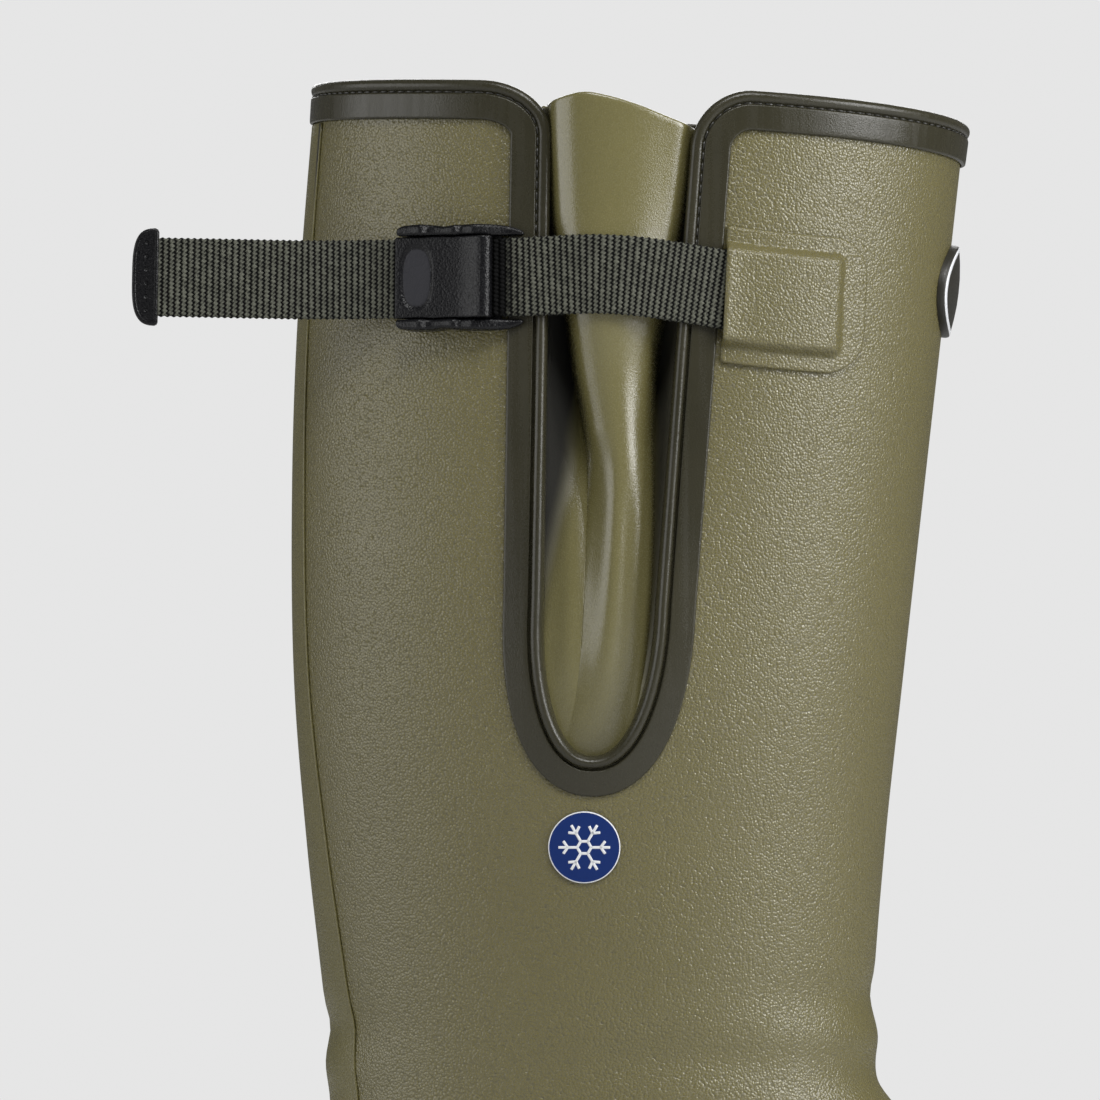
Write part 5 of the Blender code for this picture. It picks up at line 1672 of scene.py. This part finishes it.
    def path(self) -> list[PathRow]:
        """Places and outward directions along the strap's inner face, from the patch to the free end."""
        origin, along, _, out = self.axes()
        x = np.linspace(self.rows[-1].x, self.row_start, self.row_steps)
        row = read(self.rows, x)
        places = list(self.last.over_side(x, row.z, row.over))
        outs = list(self.last.side_normal(x, row.z))
        base = origin + out * self.strap_base()
        for stop in (self.base_end, 0.0, -self.buckle_half):
            places.append(base + along * stop)
            outs.append(out)
        turn = math.acos(min(along[0], 1.0))
        stride = self.free_turn / self.free_steps
        for step in range(1, self.free_steps + 1):
            lean = turn * (1 - (step - 0.5) / self.free_steps)
            places.append(places[-1] + np.array((-math.cos(lean), math.sin(lean), 0.0)) * stride)
            share = step / self.free_steps
            outs.append(unit(out * (1 - share) + OUTWARD * share))
        bend = places[-1]
        end = np.array((self.free_end_x, bend[1], self.free_end_z))
        for share in (0.25, 0.5, 0.75, 1.0):
            places.append(bend + (end - bend) * share)
            outs.append(OUTWARD)
        run = np.concatenate([[0.0], np.cumsum(np.linalg.norm(np.diff(places, axis=0), axis=1))])
        return [PathRow(length, *spot, *way) for length, spot, way in zip(run, places, outs)]

    def weave(self, run: Array, across: Array) -> Array:
        """Share of a slub's height in the weave.

        Args:
            run: Lengths along the strap.
            across: Distances from its middle line.

        Returns:
            The share at each place.
        """
        place = run / self.column_pitch
        beat = across / self.slub_pitch + 0.5 * np.mod(np.round(place), 2)
        zigzag = np.abs(np.mod(beat, 1.0) - 0.5) * 4 - 1
        off = np.abs(place + self.column_waver * zigzag - np.round(place)) * 2
        bead = 0.5 + 0.5 * np.cos(2 * math.pi * (beat + self.slub_lean * off))
        number = np.floor(place) * FLECK_STEPS[0] + np.floor(beat + 0.5) * FLECK_STEPS[1]
        fleck = np.mod(np.sin(number * FLECK_TURN) * FLECK_SPREAD, 1.0)
        cord = smooth_step((off - self.column_gap) / self.column_slope)
        even, beaded, flecked = self.slub_shares
        return cord * (even + beaded * bead + flecked * np.square(fleck))

    def build_strap(self) -> None:
        """Build and dress the webbing, with its slubs as real relief on both faces."""
        rows = self.path()
        count = int(rows[-1].run / self.column_pitch) * self.column_steps
        run = np.linspace(0.0, rows[-1].run, count + 1)
        row = read(rows, run)
        middle = np.stack([row.x, row.y, row.z], axis=-1)
        heading = unit(np.gradient(middle, axis=0))
        rise = unit(np.cross(heading, np.stack([row.out_x, row.out_y, row.out_z], axis=-1)))
        out = unit(np.cross(rise, heading))
        wave = self.selvage_wave * np.cos(2 * math.pi * run / self.column_pitch)
        half = self.strap_width / 2 - self.selvage_in + wave
        steps = int(self.strap_width / self.slub_pitch) * self.slub_steps
        front = np.linspace(-1.0, 1.0, steps + 1)
        back = np.linspace(1.0, -1.0, self.back_steps)
        share = np.concatenate([front, back])
        across = half[:, None] * share[None, :]
        lift = self.weave(run[:, None], across)
        edge = np.sqrt(np.clip((1 - np.abs(share)) * self.strap_width, 0.0, 1.0))[None, :]
        face = np.where(np.arange(len(share)) <= steps, 1.0, 0.0)[None, :]
        outer = self.strap_thick - self.slub_height * (1.0 - lift)
        inner = self.slub_height * (1.0 - lift) * self.back_relief
        level = self.strap_thick / 2 + (np.where(face > 0, outer, inner) - self.strap_thick / 2) * edge
        rings = middle[:, None] + rise[:, None] * across[..., None] + out[:, None] * level[..., None]
        strap = loft("strap_webbing", rings, crisp_deg=80.0)
        origin, along, _, _ = self.axes()
        # Painted shadow: the weave's height share kept for the colour is cut next to the lever's roll.
        from_roll = (middle - origin) @ along - self.roll_x - self.roll - self.lever_shade_x
        lift = lift * (1 - self.lever_shade * bell(from_roll / self.lever_shade_run))[:, None]
        weave = strap.data.attributes.new("weave", "FLOAT_VECTOR", "POINT")
        values = np.stack([np.broadcast_to(run[:, None], across.shape), across, lift], axis=-1)
        weave.data.foreach_set("vector", values.astype(np.float32).ravel())
        self.settle(strap, "webbing", self.finishes.webbing, "strap")

    def build_patch(self) -> None:
        """Build and dress the patch that laps over the front end of the strap."""
        turn = np.linspace(0.0, math.pi / 2, self.patch_round)
        corner = self.patch_corner
        bend = self.patch_end - corner
        straight = np.linspace(self.patch_start, bend, self.patch_along)[:-1]
        x = np.concatenate([straight, bend + corner * np.sin(turn)])
        past = np.maximum(x - bend, 0.0)
        half = self.patch_half - corner + np.sqrt(np.maximum(corner ** 2 - past ** 2, 0.0))
        off = half[:, None] * np.linspace(-1.0, 1.0, self.patch_across)[None, :]
        strap = read(self.rows, x[:, None])
        inside = smooth_step((self.pocket_half + self.pocket_slope - np.abs(off)) / self.pocket_slope)
        inside = inside * smooth_step((self.pocket_end + self.pocket_slope - x[:, None]) / self.pocket_slope)
        raised = strap.over + self.strap_thick + self.pocket_clear - GAP
        height = self.patch_seat + self.patch_thick / 2 + raised * inside
        z = strap.z - self.patch_drop + off
        middle = self.last.over_side(x[:, None] + self.patch_lean * off, z, height)
        patch = sheet("strap_patch_grained", middle, self.patch_thick, OUTWARD)
        self.settle(patch, "olive_rubber", self.finishes.olive, "strap_patch")

    def oval_size(self, x: Array, y: Array) -> Array:
        """Share of the way from the oval's middle to its edge on the lever's face."""
        across, along = np.abs(x - self.oval_x) / self.oval_half_x, np.abs(y) / self.oval_half_y
        return (across ** self.oval_power + along ** self.oval_power) ** (1 / self.oval_power)

    def oval_relief(self, x: Array, y: Array) -> Array:
        """Sunk oval with a groove round it on the lever's face."""
        size = self.oval_size(x, y)
        groove = bell((size - 1.0) / self.oval_edge)
        return -self.oval_groove * groove - self.oval_sink * smooth_step((1.0 - size) / self.oval_edge)

    @staticmethod
    def stations(*columns: Any) -> Array:
        """Stations of a bar from its columns, any of which can be one value for all."""
        return np.stack(np.broadcast_arrays(*columns), axis=-1)

    def build_frame(self) -> None:
        """Build and dress the buckle's frame: two rails joined by a base under the strap."""
        x = np.linspace(self.rail_start, self.rail_end, self.rail_steps)
        outer, top = read(self.rail_sides, x).z, read(self.rail_rows, x).z
        upper_rail = self.stations(x, self.rail_inner, outer, GAP, top)
        lower_rail = self.stations(x, -outer, -self.rail_inner, GAP, top)
        rail = bar("buckle_frame_moulded", upper_rail, self.rail_corner, self.place)
        twin = bar("lower_rail", lower_rail, self.rail_corner, self.place)
        x = np.linspace(self.base_back - self.buckle_half, self.base_end, self.base_steps)
        reach = self.rail_inner + self.base_lap
        plank = self.stations(x, -reach, reach, GAP - self.base_sink, GAP + self.base_thick)
        base = bar("rail_base", plank, self.base_corner, self.place)
        join_by(rail, twin, "UNION", crisp_deg=50.0)
        join_by(rail, base, "UNION", crisp_deg=50.0)
        self.settle(rail, "buckle_plastic", self.finishes.plastic, "buckle_frame")

    def build_lever(self) -> None:
        """Build and dress the closed lever, with a rolled front end and a sunk oval."""
        floor = self.strap_base() + self.strap_thick + GAP
        straight = np.linspace(self.lever_start, self.roll_x, self.lever_steps)
        turn = np.linspace(0.0, math.pi / 2 * self.roll_share, self.roll_steps)[1:]
        x = np.concatenate([straight, self.roll_x + self.roll * np.sin(turn)])
        past = np.maximum(x - self.roll_x, 0.0)
        arc = np.sqrt(np.maximum(self.roll ** 2 - past ** 2, 0.0))
        top = np.where(past > 0, floor + self.roll + arc, floor + read(self.lever_rows, x).z)
        low = np.where(past > 0, floor + self.roll - arc, floor)
        rows = self.stations(x, -self.lever_half, self.lever_half, low, top)
        lever = bar("buckle_lever_moulded", rows, self.lever_corner, self.place, top_steps=self.lever_across,
                    relief=self.oval_relief)
        origin, along, rise, out = self.axes()
        spots = np.array([vert.co for vert in lever.data.vertices]) / MM - origin
        sunk = smooth_step((self.oval_inner - self.oval_size(spots @ along, spots @ rise)) / self.oval_edge)
        tag(lever, "inlay", self.oval_pale * sunk * (spots @ out > floor + self.oval_over))
        self.settle(lever, "buckle_plastic", self.finishes.plastic, "buckle_lever")

    def tip_cutters(self) -> Object:
        """Block that cuts the clip's pocket, and balls that cut its dimples."""
        cutters = bmesh.new()
        size = (2 * (self.tip_pocket + GAP), 2 * (self.strap_width / 2 + GAP), self.strap_thick + 2 * GAP)
        made = bmesh.ops.create_cube(cutters, size=MM)
        bmesh.ops.scale(cutters, vec=size, verts=made["verts"])
        for number in range(self.dimple_count):
            across = (number - (self.dimple_count - 1) / 2) * self.dimple_pitch
            spot = Vector((self.dimple_x, across, self.tip_thick / 2 + self.dimple_over)) * MM
            made = bmesh.ops.create_uvsphere(cutters, u_segments=16, v_segments=10,
                                             radius=self.dimple_radius * MM)
            bmesh.ops.translate(cutters, verts=made["verts"], vec=spot)
        return link_mesh("tip_cutters", cutters)

    def build_tip(self) -> None:
        """Build and dress the clip on the strap's free end, with its row of dimples."""
        half = self.tip_width / 2
        turn = np.linspace(-math.pi / 2, math.pi / 2, self.tip_steps)
        x = self.tip_length * np.cos(turn) ** (2 / self.tip_power)
        y = half * np.sign(np.sin(turn)) * np.abs(np.sin(turn)) ** (2 / self.tip_power)
        round_end = np.abs(y) < half - self.tip_flat
        edge = [(float(a), float(b)) for a, b in zip(x[round_end][::-1], y[round_end][::-1])]
        outline = [(a, half - inset) for a, inset in self.tip_mouth] + edge
        outline += [(a, inset - half) for a, inset in reversed(self.tip_mouth)]
        tip = plate("strap_end_clip", outline, self.tip_thick, self.tip_bevel, self.tip_rim, self.tip_sink)
        join_by(tip, self.tip_cutters(), "DIFFERENCE", crisp_deg=40.0)
        before, here = self.path()[-2:]
        end = np.array((here.x, here.y, here.z))
        heading = unit(end - np.array((before.x, before.y, before.z)))
        out = unit(OUTWARD - heading * (OUTWARD @ heading))
        down = np.cross(out, heading)
        origin = end - heading * self.tip_pocket + out * self.strap_thick / 2
        for vert in tip.data.vertices:
            local = np.array(vert.co) / MM
            vert.co = Vector((origin + local[0] * heading + local[1] * down + local[2] * out) * MM)
        shade(tip, 40.0)
        self.settle(tip, "buckle_plastic", self.finishes.plastic, "strap_tip")

    def build(self) -> None:
        """Build and dress every piece of the fastening."""
        self.build_strap()
        self.build_patch()
        self.build_frame()
        self.build_lever()
        self.build_tip()


@dataclass
class Trim(Assembly):
    """Blue roundel with a snow crystal, and the plain oval badge on the front."""

    roundel_x: float = 27.5
    roundel_z: float = 205.0
    roundel_radius: float = 9.0
    roundel_top: float = 0.75
    rim_width: float = 0.28
    bar_width: float = 0.6
    heart: float = 1.75
    arm_end: float = 6.4
    barb_start: float = 4.1
    barb_length: float = 1.9
    barb_deg: float = 55.0
    badge_z: float = 347.0
    badge_half_width: float = 14.5
    badge_half_height: float = 11.8
    badge_edge: float = 1.9
    badge_dome: float = 1.3
    badge_rings: tuple[tuple[float, float], ...] = (
        (0.001, 0.0), (0.3, 0.0), (0.6, 0.0), (0.8, 0.0), (0.875, 0.0), (0.885, 0.12), (0.95, 0.12),
        (0.955, 0.0), (0.97, 0.0), (0.98, -0.12), (0.992, -0.45), (1.0, -0.9))
    segments: int = 96
    seat: float = 0.05
    crystal_thick: float = 0.08
    crystal_over: float = 0.02
    crystal_steps: int = 9

    def roundel_chart(self, a: Array, b: Array, height: Array) -> Array:
        """Point over the roundel's place."""
        return self.last.over_side(self.roundel_x + a, self.roundel_z + b, height)

    def badge_chart(self, a: Array, b: Array, height: Array) -> Array:
        """Point over the badge's place, for a circle of radius one stretched to an oval."""
        y, z = a * self.badge_half_width, self.badge_z + b * self.badge_half_height
        return self.last.over_end(y, z, End.TOE, height)

    def crystal_bars(self) -> list[tuple[float, float, float, float]]:
        """Ends (a, b, a, b) of the snow crystal's bars: a hexagon heart, six arms, a pair of barbs each."""
        bars = []
        for arm in range(6):
            turn = arm * math.pi / 3
            way, after = (np.array((math.cos(t), math.sin(t))) for t in (turn, turn + math.pi / 3))
            bars.append((*(way * self.heart), *(after * self.heart)))
            bars.append((*(way * self.heart), *(way * self.arm_end)))
            for side in (-1, 1):
                lean = turn + side * math.radians(self.barb_deg)
                tip = way * self.barb_start + self.barb_length * np.array((math.cos(lean), math.sin(lean)))
                bars.append((*(way * self.barb_start), *tip))
        return bars

    def build_crystal(self) -> None:
        """Build and dress the snow crystal as thin bars lying on the roundel."""
        pieces = []
        for number, (a0, b0, a1, b1) in enumerate(self.crystal_bars()):
            share = np.linspace(0.0, 1.0, self.crystal_steps)[:, None]
            side = np.array((b0 - b1, a1 - a0)) / math.hypot(a1 - a0, b1 - b0) * self.bar_width / 2
            wide = np.linspace(-1.0, 1.0, 3)[None, :]
            a = a0 + share * (a1 - a0) + wide * side[0]
            b = b0 + share * (b1 - b0) + wide * side[1]
            middle = self.roundel_chart(a, b, np.full(a.shape, self.roundel_top + self.crystal_over))
            pieces.append(sheet(f"crystal_bar_{number}", middle, self.crystal_thick, OUTWARD, turn_steps=2))
        bpy.ops.object.select_all(action="DESELECT")
        for piece in pieces:
            piece.select_set(True)
        bpy.context.view_layer.objects.active = pieces[0]
        bpy.ops.object.join()
        pieces[0].name = "roundel_crystal"
        self.settle(pieces[0], "roundel_print", self.finishes.white)

    def build(self) -> None:
        """Build and dress the roundel, its crystal and the badge."""
        radius, top = self.roundel_radius, self.roundel_top
        blue = radius - self.rim_width
        profile = [(0.01, top), (3.0, top), (6.0, top), (blue, top), (blue, top), (radius - 0.12, top),
                   (radius, top - 0.15), (radius, self.seat), (radius / 2, self.seat), (0.01, self.seat)]
        roundel = disc("roundel_disc", self.roundel_chart, np.array(profile), self.segments)
        self.band(roundel, 4, 6)
        self.settle(roundel, "roundel_print", [self.finishes.blue, self.finishes.white], "roundel")
        self.build_crystal()
        edge, dome = self.badge_edge, self.badge_dome
        profile = [(r, edge + dome * (1 - r * r) + lift) for r, lift in self.badge_rings]
        profile += [(1.0, self.seat), (0.5, self.seat), (0.001, self.seat)]
        badge = disc("front_badge_oval", self.badge_chart, np.array(profile), self.segments)
        self.band(badge, 4, 7)
        self.settle(badge, "badge_rubber", [self.finishes.badge, self.finishes.white], "front_badge")

    def band(self, item: Object, first: int, last: int) -> None:
        """Give the faces of a disc from one ring to another the second material."""
        kinds = np.zeros(len(item.data.polygons), dtype=np.int32)
        kinds[first * self.segments:last * self.segments] = 1
        item.data.polygons.foreach_set("material_index", kinds)


@dataclass
class Studio:
    """Pale floor, soft lights and the camera at the photograph's angle."""

    floor_radius: float = 3.2
    camera_distance: float = 2750.0
    camera_x: float = 18.9
    camera_z: float = 200.0
    target_z: float = 280.9
    half_view_deg: float = 2.92
    sensor: float = 36.0
    backdrop: float = 0.79
    ambient: float = 0.13
    floor_tints: tuple[float, float] = (0.62, 0.64)
    light_aim: tuple[float, float, float] = (0.03, 0.0, 0.25)
    lights: tuple[SoftBox, ...] = (
        SoftBox("key", 65.0, 0.78, 1.5, 0.8, 1.0, 20.0),
        SoftBox("fill", -74.0, 0.4, 2.2, 2.4, 1.8, 26.0),
        SoftBox("overhead", 12.0, 2.2, 1.6, 1.4, 1.0, 40.0),
        SoftBox("back", 180.0, 1.2, 2.2, 1.4, 1.0, 14.0))

    def build_light(self, box: SoftBox) -> None:
        """Make a soft light, at an angle to the right of the camera as seen from the boot."""
        light = bpy.data.lights.new(box.name, "AREA")
        light.shape = "RECTANGLE"
        light.size, light.size_y = box.width, box.tall
        light.energy = box.power
        item = bpy.data.objects.new(box.name, light)
        turn = math.radians(box.turn_deg)
        item.location = (box.reach * math.sin(turn), -box.reach * math.cos(turn), box.height)
        aim = Vector(self.light_aim) - item.location
        item.rotation_euler = aim.to_track_quat("-Z", "Y").to_euler()
        item.visible_camera = False
        bpy.context.scene.collection.objects.link(item)

    def build_world(self) -> None:
        """Make the plain backdrop, brighter to the camera than it is as a light."""
        world = bpy.data.worlds.new("studio")
        world.use_nodes = True
        bpy.context.scene.world = world
        graph = Graph(world.node_tree)
        world.node_tree.nodes.clear()
        seen = graph.node("ShaderNodeBackground", {"Color": (self.backdrop,) * 3 + (1.0,), "Strength": 1.0})
        lit = graph.node("ShaderNodeBackground", {"Color": (self.ambient,) * 3 + (1.0,), "Strength": 1.0})
        ray = graph.node("ShaderNodeLightPath").outputs["Is Camera Ray"]
        mixed = graph.node("ShaderNodeMixShader", {0: ray, 1: lit.outputs[0], 2: seen.outputs[0]})
        graph.node("ShaderNodeOutputWorld", {"Surface": mixed.outputs[0]})

    def build_floor(self) -> None:
        """Make the round floor."""
        bpy.ops.mesh.primitive_circle_add(vertices=96, radius=self.floor_radius, fill_type="NGON")
        floor = bpy.context.object
        floor.name = "floor"
        made, graph, shader = start_material("pale floor")
        place = graph.node("ShaderNodeTexCoord").outputs["Object"]
        tints = [(tint,) * 3 for tint in self.floor_tints]
        colour = graph.blend(graph.noise(place, 3.0, 3.0), *tints)
        graph.feed(shader, {"Base Color": colour, "Roughness": 0.8})
        floor.data.materials.append(made)

    def build_camera(self) -> None:
        """Make the camera of the photograph: a long lens level with the shaft's middle."""
        data = bpy.data.cameras.new("camera")
        data.sensor_width = self.sensor
        data.lens = self.sensor / 2 / math.tan(math.radians(self.half_view_deg))
        data.clip_end = 100.0
        camera = bpy.data.objects.new("camera", data)
        camera.location = Vector((self.camera_x, -self.camera_distance, self.camera_z)) * MM
        aim = Vector((self.camera_x, 0.0, self.target_z)) * MM - camera.location
        camera.rotation_euler = aim.to_track_quat("-Z", "Y").to_euler()
        bpy.context.scene.collection.objects.link(camera)
        bpy.context.scene.camera = camera

    def build(self) -> None:
        """Build the whole studio."""
        bpy.context.scene.view_settings.view_transform = "Standard"
        self.build_camera()
        self.build_world()
        self.build_floor()
        for box in self.lights:
            self.build_light(box)


def main() -> None:
    """Build the studio and every sub-assembly of the boot."""
    logging.basicConfig(level=logging.INFO, format="%(message)s")
    Studio().build()
    last, finishes = Last(), Finishes()
    slot = Slot(last)
    Foot(last, finishes).build()
    Upper(last, finishes, slot).build()
    Binding(last, finishes, slot).build()
    Gusset(last, finishes, slot).build()
    Fastening(last, finishes).build()
    Trim(last, finishes).build()


if __name__ == "__main__":
    main()
